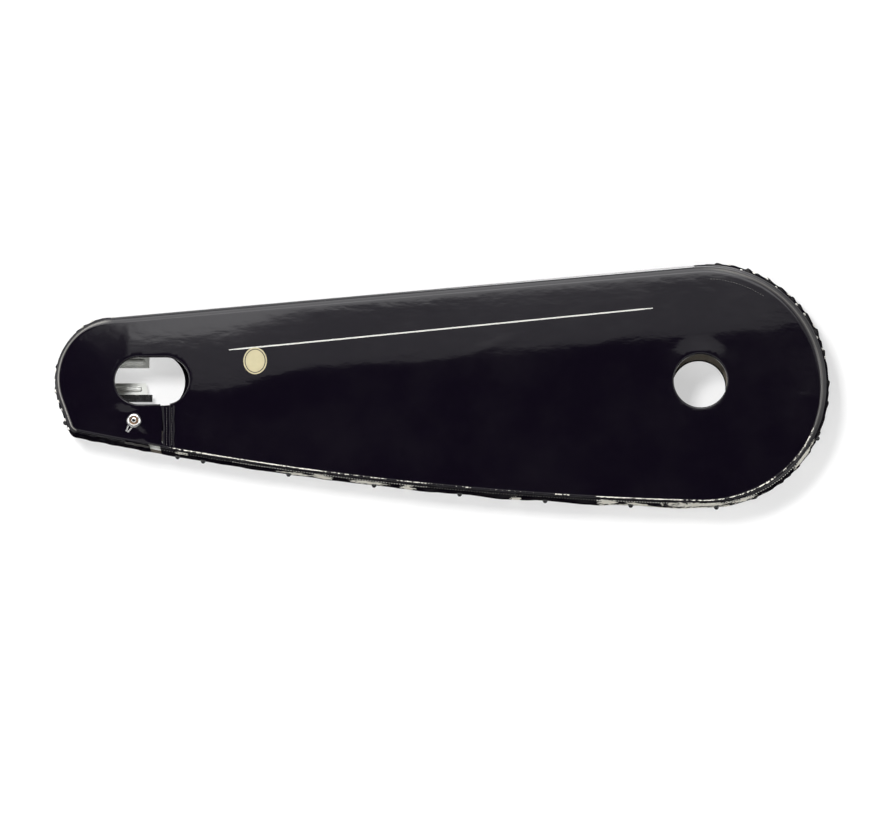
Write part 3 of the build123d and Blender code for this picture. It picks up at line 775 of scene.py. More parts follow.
def hem_cloth(finish):
    """Grained black cloth of the hems, with painted grey highlight on the gathers and painted cream
    reflection in patches.
    """
    name = "grained_black_cloth"
    if name in bpy.data.materials:
        return bpy.data.materials[name]
    material, tree, shader = new_material(name, Specular_IOR_Level=0.0, Coat_Roughness=0.36, Coat_IOR=1.4)
    grain = grain_node(tree, Grain=700.0, Streak=1.0, Dust=60.0)
    reflection_patches = reflection_patch_mask(tree, 200.0)
    # Painted highlight: grey on the ridges of the gathers, mottled, mixed with real dust
    worn = node(tree, "ShaderNodeAttribute", {"attribute_name": "painted_highlight"})
    ridge_highlight = arithmetic(tree, "MULTIPLY", worn.outputs["Fac"], reflection_patches.outputs["Mottle"])
    dulled = arithmetic(tree, "ADD", ridge_highlight, arithmetic(tree, "MULTIPLY", grain.outputs["Dust"], 0.25))
    dusty = blend_colour(tree, dulled, finish.coat, shade(finish.scuff_and_highlight, 0.22))
    # Painted reflection: cream patches, where the coat layer is also left off
    reflected = blend_colour(tree, reflection_patches.outputs["Mask"], finish.coat, finish.reflection_cream)
    link(tree, dusty, reflected.node.inputs["A"])
    link(tree, reflected, shader.inputs["Base Color"])
    link(tree, spread_value(tree, grain.outputs["Dust"], 0.4, 0.6), shader.inputs["Roughness"])
    aslant = node(tree, "ShaderNodeLayerWeight", None, Blend=0.5)
    gloss = node(tree, "ShaderNodeMapRange", None, From_Min=0.5, From_Max=0.82, To_Min=0.9, To_Max=0.0)
    link(tree, aslant.outputs["Facing"], gloss.inputs["Value"])
    coated = arithmetic(tree, "SUBTRACT", 1.0, reflection_patches.outputs["Mask"])
    link(tree, arithmetic(tree, "MULTIPLY", gloss.outputs["Result"], coated), shader.inputs["Coat Weight"])
    bump(tree, shader, grain.outputs["Height"], 0.09 * MM)
    return material


def worn_cloth(finish):
    """Cloth whose coating has gone grey."""
    grey = shade(finish.scuff_and_highlight, 0.2)
    dark = shade(finish.scuff_and_highlight, 0.09)
    return plain_finish("worn_grey_cloth", grey, dark, (0.5, 0.7), 700.0, 0.08 * MM, Specular_IOR_Level=0.2)


def woven_lining(finish):
    """Woven inner side of the cloth."""
    name = "woven_lining"
    if name in bpy.data.materials:
        return bpy.data.materials[name]
    material, tree, shader = new_material(name, Roughness=0.85)
    weave = node(tree, "ShaderNodeGroup", {"node_tree": weave_group()}, Threads=950.0)
    tint = blend_colour(tree, weave.outputs["Height"], finish.lining_gap, finish.lining)
    link(tree, tint, shader.inputs["Base Color"])
    bump(tree, shader, weave.outputs["Height"], 0.25 * MM)
    return material


def plain_finish(name, first, last, rough, grain_scale, depth, **inputs):
    """Finish with a worn second colour, varying gloss and fine grain."""
    if name in bpy.data.materials:
        return bpy.data.materials[name]
    material, tree, shader = new_material(name, **inputs)
    grain = grain_node(tree, Grain=grain_scale, Streak=1.0, Dust=grain_scale / 6)
    link(tree, blend_colour(tree, grain.outputs["Dust"], first, last), shader.inputs["Base Color"])
    link(tree, spread_value(tree, grain.outputs["Dust"], *rough), shader.inputs["Roughness"])
    bump(tree, shader, grain.outputs["Height"], depth)
    return material


def zinc(finish):
    """Dull zinc-coated steel."""
    return plain_finish("zinc", finish.zinc, finish.zinc_dull, (0.3, 0.45), 900.0, 0.012 * MM, Metallic=0.1)


def thread(finish):
    """Pale sewing thread, used for painted highlights and glints."""
    dull = shade(finish.thread, 0.6)
    return plain_finish("sewing_thread", finish.thread, dull, (0.6, 0.8), 2500.0, 0.04 * MM)


def black_thread(finish):
    """Black sewing thread."""
    pale = shade(finish.thread, 0.14)
    dark = shade(finish.thread, 0.05)
    return plain_finish("black_thread", pale, dark, (0.5, 0.7), 2500.0, 0.04 * MM)


def enamel(finish):
    """Black enamel on steel."""
    worn = shade(finish.enamel, 3.0)
    return plain_finish("black_enamel", finish.enamel, worn, (0.2, 0.4), 800.0, 0.01 * MM)


def chrome(finish):
    """Bright plating with fine scratches."""
    dull = shade(finish.chrome, 0.8)
    return plain_finish("bright_plating", finish.chrome, dull, (0.07, 0.2), 1200.0, 0.004 * MM, Metallic=1.0)


def brass(finish):
    """Plain brass, a little tarnished."""
    tarnish = shade(finish.brass, 0.55)
    return plain_finish("plain_brass", finish.brass, tarnish, (0.25, 0.45), 1200.0, 0.006 * MM, Metallic=1.0)


def pressed_foil(name, tint):
    """Pressed-on foil, faintly marked by use."""
    return plain_finish(name, tint, shade(tint, 0.86), (0.3, 0.45), 500.0, 0.006 * MM)


def settle(piece, slot, *nodes):
    """Fix a piece to the guard, and hide the solids that it stands for."""
    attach(piece, "root")
    if nodes:
        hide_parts(*nodes)


def bead_share(station):
    """Share of the bead's height, which dies away along the top."""
    if station.span == "top":
        return 0.0
    if station.span == "tail":
        return smooth(0.0, 0.10, station.share)
    if station.span == "crank":
        return 1.0 - smooth(0.90, 1.0, station.share)
    if station.span in ("flat", "corner"):
        return 1.0
    return 0.55


def highlight_share(station):
    """How strong the painted highlight is along the fold at the ends."""
    if station.span in ("tail", "flat", "corner"):
        return bead_share(station)
    if station.span == "crank" and station.front.y > -70.0 * MM:
        return 0.5 * bead_share(station)
    return 0.0


def wobble(along):
    """Slow unevenness of a sewn edge, from -1 to 1."""
    slow = 0.5 * math.sin(along * 61.0)
    quick = 0.3 * math.sin(along * 143.0 + 1.3)
    quickest = 0.2 * math.sin(along * 290.0 + 0.5)
    return slow + quick + quickest


# Where the bottom fold gets its painted reflection: middle and half length in millimetres, and how much
FOLD_REFLECTION_PLACES = (
    (-405.0, 72.0, 1.0),
    (-286.0, 52.0, 0.55),
    (-190.0, 60.0, 0.32),
    (-125.0, 8.0, 0.6),
    (-54.0, 42.0, 1.0),
    (30.0, 46.0, 0.6),
    (88.0, 16.0, 0.55),
)


def fold_reflection_share(station):
    """How strong the painted reflection is along the bottom fold."""
    if station.span not in ("bottom", "under_crank", "crank") or station.front.y > -40.0 * MM:
        return 0.0
    reflected = 0.0
    for middle, half, much in FOLD_REFLECTION_PLACES:
        away = abs(station.front.x / MM - middle) / half
        reflected = max(reflected, much * (1.0 - smooth(0.8, 1.1, away)))
    return reflected * (1.05 + 0.4 * wobble(2.3 * station.front.x))


def add_row(points, made):
    """Add points to a mesh, and give their numbers."""
    first = len(points)
    points.extend(made)
    return list(range(first, len(points)))


# Section of a turned edge: shares of its radius towards the opening and into the case
LIP_ROWS = ((0.35, 0.06), (0.7, 0.28), (0.94, 0.65), (1.0, 1.0), (1.0, 2.2))


def turn_in(points, faces, border, closed, lip, inward=1.0):
    """Add a rounded edge that turns inwards; each border point comes with its outward direction."""
    near = [index for index, _ in border]
    base = [points[index].copy() for index in near]
    count = len(border)
    for side, back in LIP_ROWS:
        made = []
        for (_, out), start in zip(border, base):
            made.append(start + Vector((-out.x * side * lip, inward * back * lip, -out.y * side * lip)))
        far = add_row(points, made)
        for step in range(count if closed else count - 1):
            after = (step + 1) % count
            face = (near[step], near[after], far[after], far[step])
            faces.append(face if inward > 0 else tuple(reversed(face)))
        near = far


# Points round the crank hole, and round each end of an axle slot
HOLE_STEPS = 96
SLOT_STEPS = 34

# Plain strip of the face beside the fold
EDGE_STRIP = 0.9 * MM


def slit_loop(left, right, top, end):
    """Points down one side of the slit and up the other."""
    steps = 8
    down = [Vector((left, mix(top, end, step / steps))) for step in range(steps + 1)]
    up = [Vector((right, mix(end, top, step / steps))) for step in range(steps + 1)]
    return down + up


def from_slot(point, centre, half):
    """Way to a point from the nearest place of a slot's middle line."""
    middle = Vector((min(max(point.x, centre.x - half), centre.x + half), centre.y))
    return point - middle


def front_face(case, edge, outer):
    """Front face within an outer line: its points, its faces and the numbers of the outer points."""
    slot_centre = Vector((-case.axle_distance, 0.0))
    half = (case.slot_length - case.slot_width) / 2
    hole = circle_loop(Vector((0.0, 0.0)), case.crank_hole + case.lip, HOLE_STEPS)
    slot = slot_loop(slot_centre, case.slot_length + 2 * case.lip, case.slot_width + 2 * case.lip, SLOT_STEPS)

    # The slit opens the lower edge of the slot
    slit_left = case.slit_x - case.slit_width
    slit_top = -case.slot_width / 2 - case.lip
    slit_end = outline_point(edge, "gap", 1.0)[0].y + case.bottom_fold + 2.0 * EDGE_STRIP
    slit = slit_loop(slit_left, case.slit_x, slit_top, slit_end)
    kept = [point for point in slot if not (point.y < slit_top + MM / 10 and point.x > slit_left - MM)]
    start = next(index for index, point in enumerate(slot) if point not in kept)
    slot = kept[:start] + slit + kept[start:]

    spacing = 3.2 * MM
    keep_off = 0.55 * spacing
    top_keep_off = 0.25 * spacing

    def inside(point):
        below = edge.crank_radius - (point - edge.crank).dot(unit(edge.top_angle))
        above = edge.bow - (point - edge.bow_centre).length
        if below < case.end_fold or above < case.bottom_fold + EDGE_STRIP + keep_off:
            return False
        if point.length < case.crank_hole + case.lip + keep_off:
            return False
        if from_slot(point, slot_centre, half).length < case.slot_width / 2 + case.lip + keep_off:
            return False
        if slit_left - keep_off < point.x < case.slit_x + keep_off:
            if slit_end - keep_off < point.y < 0.0:
                return False
        if edge.tail.x < point.x < edge.crank.x:
            return below > case.top_fold + EDGE_STRIP + top_keep_off
        return within(point, outer) and nearest(point, outer) > keep_off

    slant = edge.top_angle - math.pi / 2
    flat, faces, (outer_rim, hole_rim, slot_rim) = fill_flat(outer, [hole, slot], spacing, slant, inside)
    points = [face_point(case, edge, point) for point in flat]

    # Turned edges of the hole and the slot
    border = [(index, flat[index].normalized()) for index in hole_rim]
    turn_in(points, faces, border, True, case.lip)
    chain = slot_rim[start + len(slit) :] + slot_rim[:start]
    border = [(index, from_slot(flat[index], slot_centre, half).normalized()) for index in chain]
    turn_in(points, faces, border, False, case.lip)
    return points, faces, outer_rim


# Rows of the fold in degrees, and how strong the painted reflection is on the rows of its line
FOLD_ANGLES = (0, 14, 26, 38, 50, 62, 74, 84)
FOLD_REFLECTION_ANGLES = {26: 1.0, 38: 0.42}

# Bead section: depth behind the fold in millimetres, and share of the bead's height
BEAD_ROWS = ((0.4, 0.45), (0.8, 0.8), (1.3, 1.0), (1.8, 0.85), (2.2, 0.45), (2.6, -0.2), (3.4, -0.4))


def fold_point(case, station, lift, angle):
    """Point of the fold at an angle, beside a face that stands out by a lift."""
    front_y = -case.depth / 2
    radius = fold_radius(case, station)
    y = front_y - lift + (radius + lift) * (1.0 - math.cos(math.radians(angle)))
    point, out = wall_point(case, station, max(y, front_y))
    return at_depth(point - out * radius * (1.0 - math.sin(math.radians(angle))), y)


def bead_point(case, station, along, depth, share):
    """Point of the bead behind the fold, where the edge turns over the wire."""
    y = -case.depth / 2 + fold_radius(case, station) + depth
    point, out = wall_point(case, station, y)
    height = share * case.bead * bead_share(station) * (1.0 + 0.25 * wobble(along))
    return at_depth(point + out * height, y)


def rim_runs(rim):
    """Distance along the front outline for each station of the closed rim."""
    along = 0.0
    runs = []
    for station, before in zip(rim, [rim[-1], *rim]):
        along += (station.front - before.front).length
        runs.append(along)
    return runs


def turn_over_top(case, points, faces, near, strip):
    """Add the wide edge that goes over the top to the back face, from a row of points along the top."""
    first_y = -case.depth / 2 + case.top_fold + BEAD_ROWS[-1][0] * MM
    rows = 9
    for row in range(1, rows + 1):
        y = mix(first_y, case.depth / 2 - case.cloth, row / rows)
        far = add_row(points, [at_depth(wall_point(case, station, y)[0], y) for station in strip])
        for step in range(len(strip) - 1):
            faces.append((near[step], far[step], far[step + 1], near[step + 1]))
        near = far


class GUARD_OT_front_cover(bpy.types.Operator):
    """Front face with its folds, and the cloth that goes over the top"""

    bl_idname = "guard.front_cover"
    bl_label = "Front cover"

    def execute(self, context):
        case = context.scene.guard_case
        finish = context.scene.guard_finish
        edge = outline(case, 1)
        rim = stations(case, RIM_SPANS, closed=True)
        starts = [station.front - station.front_out * fold_radius(case, station) for station in rim]
        outer = [start - station.front_out * EDGE_STRIP for station, start in zip(rim, starts)]
        points, faces, outer_rim = front_face(case, edge, outer)
        painted_highlight = [0.0] * len(points)
        painted_reflection = [0.0] * len(points)

        # Fold round the edge
        lifts = [face_height(case, edge, start) for start in starts]
        rows = [outer_rim]
        for angle in FOLD_ANGLES:
            made = [fold_point(case, station, lift, angle) for station, lift in zip(rim, lifts)]
            rows.append(add_row(points, made))
            # Painted highlight: the fold rows from 20 to 56 degrees get grey painted along the bead
            turned = smooth(20.0, 38.0, angle) * (1.0 - smooth(38.0, 56.0, angle))
            painted_highlight += [highlight_share(station) * turned for station in rim]
            # Painted reflection: a cream line along the bottom fold
            painted_reflection += [fold_reflection_share(station) * FOLD_REFLECTION_ANGLES.get(angle, 0.0) for station in rim]

        # Bead behind the fold
        runs = rim_runs(rim)
        for depth, share in BEAD_ROWS:
            made = [bead_point(case, station, along, depth * MM, share) for station, along in zip(rim, runs)]
            rows.append(add_row(points, made))

        # The fold stops short in the gap of the hem, and behind the painted highlight at the ends its back is
        # dull
        gap_rows = 4
        gloss_rows = 5
        dull_cloth = 2
        kinds = [0] * len(faces)
        for number, (near, far) in enumerate(zip(rows, rows[1:])):
            for step, station in enumerate(rim):
                if station.span == "gap" and number >= gap_rows:
                    continue
                after = (step + 1) % len(rim)
                faces.append((near[step], far[step], far[after], near[after]))
                dull = number >= gloss_rows and highlight_share(station) > 0.0
                kinds.append(dull_cloth if dull else 0)

        # Wide turned edge over the top
        top_count = dict(RIM_SPANS)["top"] + 1
        turn_over_top(case, points, faces, rows[-1][:top_count], rim[:top_count])

        plain = [0.0] * (len(points) - len(painted_highlight))
        kinds += [0] * (len(faces) - len(kinds))
        lining = woven_lining(finish)
        cover = make_sheet(
            "cloth_front_cover",
            points,
            faces,
            case.cloth,
            (coated_cloth(finish), lining, hem_cloth(finish), lining),
            marks={"painted_highlight": painted_highlight + plain, "painted_reflection": painted_reflection + plain},
            kinds=kinds,
        )
        settle(cover, "coated_cloth", "front_cover")
        return {"FINISHED"}


# Where the two stays of the frame press on the back panel
STAY_PLACES = (-330.0 * MM, -180.0 * MM)


def back_height(point, inset):
    """How far the back panel stands out from its flat plane, by its distance from the edge."""
    wire_inset = 4.5
    over_wire = 0.5 * MM * math.exp(-((inset / MM - wire_inset) ** 2) / 5.0)
    held = sum(math.exp(-(((point.x - x) / MM) ** 2) / 60.0) for x in STAY_PLACES)
    slack = smooth(8.0 * MM, 42.0 * MM, inset) * smooth(-440.0 * MM, -390.0 * MM, point.x)
    ripple = 0.28 * math.sin(point.x * 34.0 + point.y * 21.0) * math.sin(point.y * 43.0 - point.x * 9.0)
    return over_wire - slack * (1.0 - min(held, 1.0)) * (0.8 + ripple) * MM


class GUARD_OT_back_panel(bpy.types.Operator):
    """Back face of the case"""

    bl_idname = "guard.back_panel"
    bl_label = "Back panel"

    def execute(self, context):
        case = context.scene.guard_case
        finish = context.scene.guard_finish
        edge = outline(case, 0)
        rim = stations(case, RIM_SPANS, closed=True)
        outer = [station.back - station.back_out * case.cloth / 4 for station in rim]
        slot_centre = Vector((-497.5 * MM, 5.0 * MM))
        half = (case.back_slot_length - case.back_slot_width) / 2
        lip = case.lip / 2
        hole = circle_loop(Vector((0.0, 0.0)), case.crank_hole + lip, HOLE_STEPS)
        slot_length = case.back_slot_length + 2 * lip
        slot_width = case.back_slot_width + 2 * lip
        slot = slot_loop(slot_centre, slot_length, slot_width, SLOT_STEPS)
        spacing = 4.0 * MM
        keep_off = 0.55 * spacing

        def inset(point):
            away = min(
                edge.crank_radius - (point - edge.crank).dot(unit(edge.top_angle)),
                edge.bow - (point - edge.bow_centre).length,
            )
            if edge.tail.x < point.x < edge.crank.x:
                return away
            return min(away, nearest(point, outer))

        def inside(point):
            if inset(point) < keep_off or point.length < case.crank_hole + lip + keep_off:
                return False
            if from_slot(point, slot_centre, half).length < case.back_slot_width / 2 + lip + keep_off:
                return False
            return edge.tail.x < point.x < edge.crank.x or within(point, outer)

        slant = edge.top_angle - math.pi / 2
        flat, faces, (_, hole_rim, slot_rim) = fill_flat(outer, [hole, slot], spacing, slant, inside)
        faces = [tuple(reversed(face)) for face in faces]
        back_y = case.depth / 2
        points = [at_depth(point, back_y + back_height(point, inset(point))) for point in flat]
        border = [(index, flat[index].normalized()) for index in hole_rim]
        turn_in(points, faces, border, True, lip, inward=-1.0)
        border = [(index, from_slot(flat[index], slot_centre, half).normalized()) for index in slot_rim]
        turn_in(points, faces, border, True, lip, inward=-1.0)
        cloths = (coated_cloth(finish), woven_lining(finish))
        panel = make_sheet("cloth_back_panel", points, faces, case.cloth, cloths)

        # The lining is coated too round the slot
        edging = case.back_slot_width / 2 + 8.0 * MM
        for face in panel.data.polygons:
            middle = Vector((face.center.x, face.center.z))
            if from_slot(middle, slot_centre, half).length < edging:
                face.material_index = 0
        settle(panel, "coated_cloth", "back_panel")
        return {"FINISHED"}


def pleat_rise(along, pitch):
    """Share of a gather's height: a slow rise and a quick fall, no two alike."""
    drawn = along + 0.22 * pitch * math.sin(1.7 * along / pitch + 0.6)
    phase = (drawn / pitch) % 1.0
    size = 0.65 + 0.35 * math.sin(2.9 * (drawn // pitch) + 1.0)
    return size * (smooth(0.2, 0.80, phase) - smooth(0.86, 0.99, phase))


def tuck(case, share):
    """Height over the wall of a hem that comes out from under the bead."""
    return mix(-0.6 * case.cloth, 0.0, smooth(0.0, 0.22, share))


def belly(share):
    """How full a gathered hem is between the bead and the back wire."""
    return smooth(0.1, 0.75, share) * (1.0 - 0.6 * smooth(0.82, 1.0, share))


def crank_lift(case, station, along, share):
    """Height of the gathered hem at the crank end."""
    rise = pleat_rise(along, case.crank_pleat_pitch)
    gather = rise * mix(0.25, 1.0, share)
    fade = 1.0 - smooth(0.92, 1.0, station.share)
    upper = smooth(0.45, 0.62, station.share) * (1.0 - smooth(0.88, 1.0, station.share))
    full = upper * belly(share) * (2.0 * MM + 0.8 * MM * rise)
    return tuck(case, share) + fade * case.pleat * gather + full


def tail_lift(case, station, along, share):
    """Height of the gathered hem at the tail end."""
    gather = pleat_rise(along, case.tail_pleat_pitch) * mix(0.25, 1.0, share)
    ruck = 0.45 * MM * math.sin(along * 330.0) * math.sin(share * 9.0 + along * 70.0)
    fade = 0.0
    upper = 0.0
    if station.span == "tail":
        fade = smooth(0.0, 0.12, station.share)
        upper = smooth(0.03, 0.14, station.share) * (1.0 - smooth(0.30, 0.48, station.share))
    if station.span == "flat":
        fade = 1.0 - smooth(0.6, 1.0, station.share)
    full = 1.5 * MM * upper * belly(share)
    return tuck(case, share) + fade * case.pleat * gather + (1.0 - fade) * ruck + full


# First rivet of the row along the bottom, and the distance between rivets
FIRST_RIVET = -447.0 * MM
RIVET_PITCH = 77.0 * MM


def bottom_lift(case, station, along, share):
    """Height of the plain hem along the bottom."""
    ruck = 0.3 * math.sin(along * 130.0) * math.sin(along * 47.0 + 1.0)
    ruck += 0.22 * math.sin(along * 240.0 + share * 7.0) * math.sin(along * 33.0)
    x = station.back.x
    held = math.sin(math.pi * (x - FIRST_RIVET) / RIVET_PITCH) ** 2
    loose = smooth(-300.0 * MM, -220.0 * MM, x) * (1.0 - smooth(10.0 * MM, 40.0 * MM, x))
    sag = 1.9 * loose * held * smooth(0.1, 0.8, share) * (1.0 - 0.6 * smooth(0.85, 1.0, share))
    return tuck(case, share) + (smooth(0.1, 0.4, share) * ruck + sag) * MM


# Patches of painted reflection: middle and half length in millimetres, middle and half width as hem shares
REFLECTION_PATCHES = (
    (-466.0, 7.0, 0.2, 0.3),
    (-362.0, 22.0, 0.72, 0.26),
    (-340.0, 11.0, 0.6, 0.55),
    (-298.0, 21.0, 0.62, 0.4),
    (-263.0, 9.0, 0.65, 0.5),
    (-166.0, 7.0, 0.72, 0.4),
    (-83.0, 12.0, 0.45, 0.45),
    (-58.0, 14.0, 0.62, 0.22),
    (2.0, 42.0, 0.42, 0.42),
    (41.0, 11.0, 0.5, 0.5),
    (93.0, 11.0, 0.48, 0.5),
    (-28.0, 95.0, 0.88, 0.16),
)


def reflection_patch_share(x, share):
    """How much painted reflection shows at a place of the hem."""
    shown = 0.0
    for middle, half, across, half_across in REFLECTION_PATCHES:
        away = math.hypot((x / MM - middle) / half, (share - across) / half_across)
        shown = max(shown, 1.0 - smooth(0.1, 1.3, away))
    return shown


def measured(strip):
    """Stations of a strip, each with its distance from the first."""
    along = 0.0
    before = strip[0]
    for station in strip:
        along += (station.back - before.back).length
        before = station
        yield station, along


def hem_point(case, station, along, share, lift):
    """Point on a hem between the bead and the back face, with its outward direction."""
    under_bead = 2.3 * MM
    first_y = -case.depth / 2 + fold_radius(case, station) + under_bead
    y = mix(first_y, case.depth / 2 - case.cloth / 2, share)
    point, out = wall_point(case, station, y)
    return at_depth(point + out * lift(case, station, along, share), y), out


def hem_sheet(case, finish, name, spans, lift, pitch=None, highlight_level=0.0):
    """Strip of cloth from the bead to the back face; lift gives its height over the wall."""
    strip = stations(case, spans)
    rows = 17
    points = []
    painted_reflection = []
    ridge_highlight = []
    for row in range(rows):
        share = row / (rows - 1)
        for station, along in measured(strip):
            point, _ = hem_point(case, station, along, share, lift)
            points.append(point)
            # Painted reflection goes on the underside only
            under = station.span in ("bottom", "under_crank") or (station.span == "crank" and point.z < 0.0)
            painted_reflection.append(reflection_patch_share(point.x, share) if under else 0.0)
            # Painted highlight on the ridges of the gathers
            ridge_highlight.append(highlight_level * pleat_rise(along, pitch) if pitch else 0.0)
    faces = strip_faces(len(strip), rows)
    cloths = (hem_cloth(finish), woven_lining(finish))
    return make_sheet(name, points, faces, case.cloth, cloths, tilt=50.0, marks={"painted_reflection": painted_reflection, "painted_highlight": ridge_highlight})


# Stations along each hem
CRANK_HEM = (("crank", 330),)
TAIL_HEM = (("tail", 130), ("flat", 40), ("corner", 12), ("under_tail", 40))
BOTTOM_HEM = (("bottom", 330), ("under_crank", 24))


class GUARD_OT_hems(bpy.types.Operator):
    """Cloth that goes round the edge: gathered at both ends and plain along the bottom"""

    bl_idname = "guard.hems"
    bl_label = "Hems"

    def execute(self, context):
        case = context.scene.guard_case
        finish = context.scene.guard_finish
        # How strong the painted highlight on the gathers is at each end
        crank_highlight = 1.0
        tail_highlight = 0.2
        crank = hem_sheet(
            case, finish, "cloth_crank_hem", CRANK_HEM, crank_lift, case.crank_pleat_pitch, crank_highlight
        )
        settle(crank, "coated_cloth", "crank_end_hem")
        tail = hem_sheet(case, finish, "cloth_tail_hem", TAIL_HEM, tail_lift, case.tail_pleat_pitch, tail_highlight)
        settle(tail, "coated_cloth", "tail_hem")
        bottom = hem_sheet(case, finish, "cloth_bottom_hem", BOTTOM_HEM, bottom_lift)
        settle(bottom, "coated_cloth", "bottom_hem")
        return {"FINISHED"}


# Rolled edges of the turned strip beside the slit: place from the slit and radius in millimetres
BINDING_ROLLS = ((0.8, 0.75), (6.4, 0.6), (9.7, 0.65))


def binding_lift(case, across):
    """Height of the turned strip over the face."""
    lift = 0.35 * case.cloth
    for middle, radius in BINDING_ROLLS:
        apart = (across / MM - middle) / radius
        if abs(apart) < 1.0:
            lift = max(lift, 0.35 * case.cloth + radius * MM * math.sqrt(1.0 - apart * apart))
    return lift


def slit_bottom(case, edge, x):
    """Height at which the slit reaches the bottom fold."""
    return edge.bow_centre.y - math.sqrt(edge.bow**2 - (x - edge.bow_centre.x) ** 2) + case.bottom_fold


def slit_binding(case, edge):
    """Points and faces of the turned edge beside the slit, which flares a little at its top."""
    top = -case.slot_width / 2 - case.lip
    flare_width = 1.5 * MM
    sway_width = 0.35 * MM
    columns = 71
    rows = 25
    points = []
    for row in range(rows):
        down = row / (rows - 1)
        sway = sway_width * math.sin(row * 0.55 + 0.4)
        flare = flare_width * (1.0 - smooth(0.05, 0.3, down))
        for column in range(columns):
            share = column / (columns - 1)
            across = share * case.binding_width
            x = case.slit_x + across + sway - flare * (1.0 - share)
            z = mix(top, slit_bottom(case, edge, x), down)
            points.append(face_point(case, edge, Vector((x, z)), binding_lift(case, across)))
    return points, strip_faces(columns, rows)


def slit_tongue(case):
    """Points and faces of the tongue: flat behind the slit, then stepped back to the stud."""
    sewn_y = -case.depth / 2 + 1.0 * MM
    stepped_y = -case.depth / 2 + 4.0 * MM
    left = case.stud_x - 12.0 * MM
    right = case.slit_x + 16.0 * MM
    step_start = case.slit_x - 13.0 * MM
    step_end = case.slit_x - 3.0 * MM
    half_height = 9.0
    columns = 45
    rows = 9
    points = []
    for row in range(rows):
        z = case.stud_z + mix(half_height, -half_height, row / (rows - 1)) * MM
        for column in range(columns):
            x = mix(left, right, column / (columns - 1))
            back = 1.0 - smooth(step_start, step_end, x)
            points.append(Vector((x, mix(sewn_y, stepped_y, back), z)))
    return points, strip_faces(columns, rows)


def tail_flap(case):
    """Points and faces of the tail hem's end flap, turned up over the fold."""
    flap_start = 0.66
    strip = [station for station in stations(case, (("under_tail", 60),)) if station.share > flap_start]
    first_y = -case.depth / 2 + 1.0 * MM
    last_y = -case.depth / 2 + 11.0 * MM
    rows = 9
    points = []
    for row in range(rows):
        share = row / (rows - 1)
        y = mix(first_y, last_y, share)
        bulge = 0.9 * MM + 0.5 * MM * math.sin(share * math.pi)
        for station, along in measured(strip):
            point, out = wall_point(case, station, y)
            lift = bulge + 0.2 * MM * math.sin(along * 700.0)
            points.append(at_depth(point + out * lift, y))
    return points, strip_faces(len(strip), rows)


class GUARD_OT_slit(bpy.types.Operator):
    """Turned edge beside the slit, the tongue behind it and the end flap of the tail hem"""

    bl_idname = "guard.slit"
    bl_label = "Slit"

    def execute(self, context):
        case = context.scene.guard_case
        finish = context.scene.guard_finish
        coated = coated_cloth(finish)
        points, faces = slit_binding(case, outline(case, 1))
        binding = make_sheet("cloth_slit_binding", points, faces, case.cloth / 2, (coated,))
        settle(binding, "coated_cloth", "slit_binding")

        tongue_cloth = 1.0 * MM
        points, faces = slit_tongue(case)
        tongue = make_sheet("cloth_slit_tongue", points, faces, tongue_cloth, (coated, woven_lining(finish)))
        settle(tongue, "coated_cloth", "slit_tongue")

        points, faces = tail_flap(case)
        flap = make_sheet("cloth_tail_flap", points, faces, case.cloth / 2, (worn_cloth(finish),))
        settle(flap, "coated_cloth")
        return {"FINISHED"}


def add_piece(name, add, **options):
    """Start a piece from a primitive, with nothing else selected and its place in its mesh."""
    bpy.ops.object.select_all(action="DESELECT")
    add(**options)
    piece = bpy.context.active_object
    piece.name = name
    piece.data.name = name
    bpy.ops.object.transform_apply(location=True, rotation=True, scale=True)
    return piece


def choose_faces(piece, test):
    """Select the faces that pass a test of their middle and normal, in edit mode."""
    bpy.ops.mesh.select_mode(type="FACE")
    bpy.ops.mesh.select_all(action="DESELECT")
    shape = bmesh.from_edit_mesh(piece.data)
    for face in shape.faces:
        face.select_set(test(face.calc_center_median(), face.normal))
    bmesh.update_edit_mesh(piece.data)


def lay_on(piece, cover, thickness):
    """Press a flat piece from the front onto the cover, and give it a thickness."""
    select_only(piece)
    press = piece.modifiers.new("press", "SHRINKWRAP")
    press.target = cover
    press.wrap_method = "PROJECT"
    press.wrap_mode = "ABOVE_SURFACE"
    press.use_project_y = True
    press.use_positive_direction = True
    press.use_negative_direction = False
    press.offset = thickness
    bpy.ops.object.modifier_apply(modifier=press.name)
    solid = piece.modifiers.new("thickness", "SOLIDIFY")
    solid.thickness = thickness
    solid.offset = -1.0
    bpy.ops.object.modifier_apply(modifier=solid.name)
    bpy.ops.object.shade_smooth_by_angle(angle=math.radians(30))


# Where the trim starts before it is pressed onto the face
IN_FRONT = -60.0 * MM


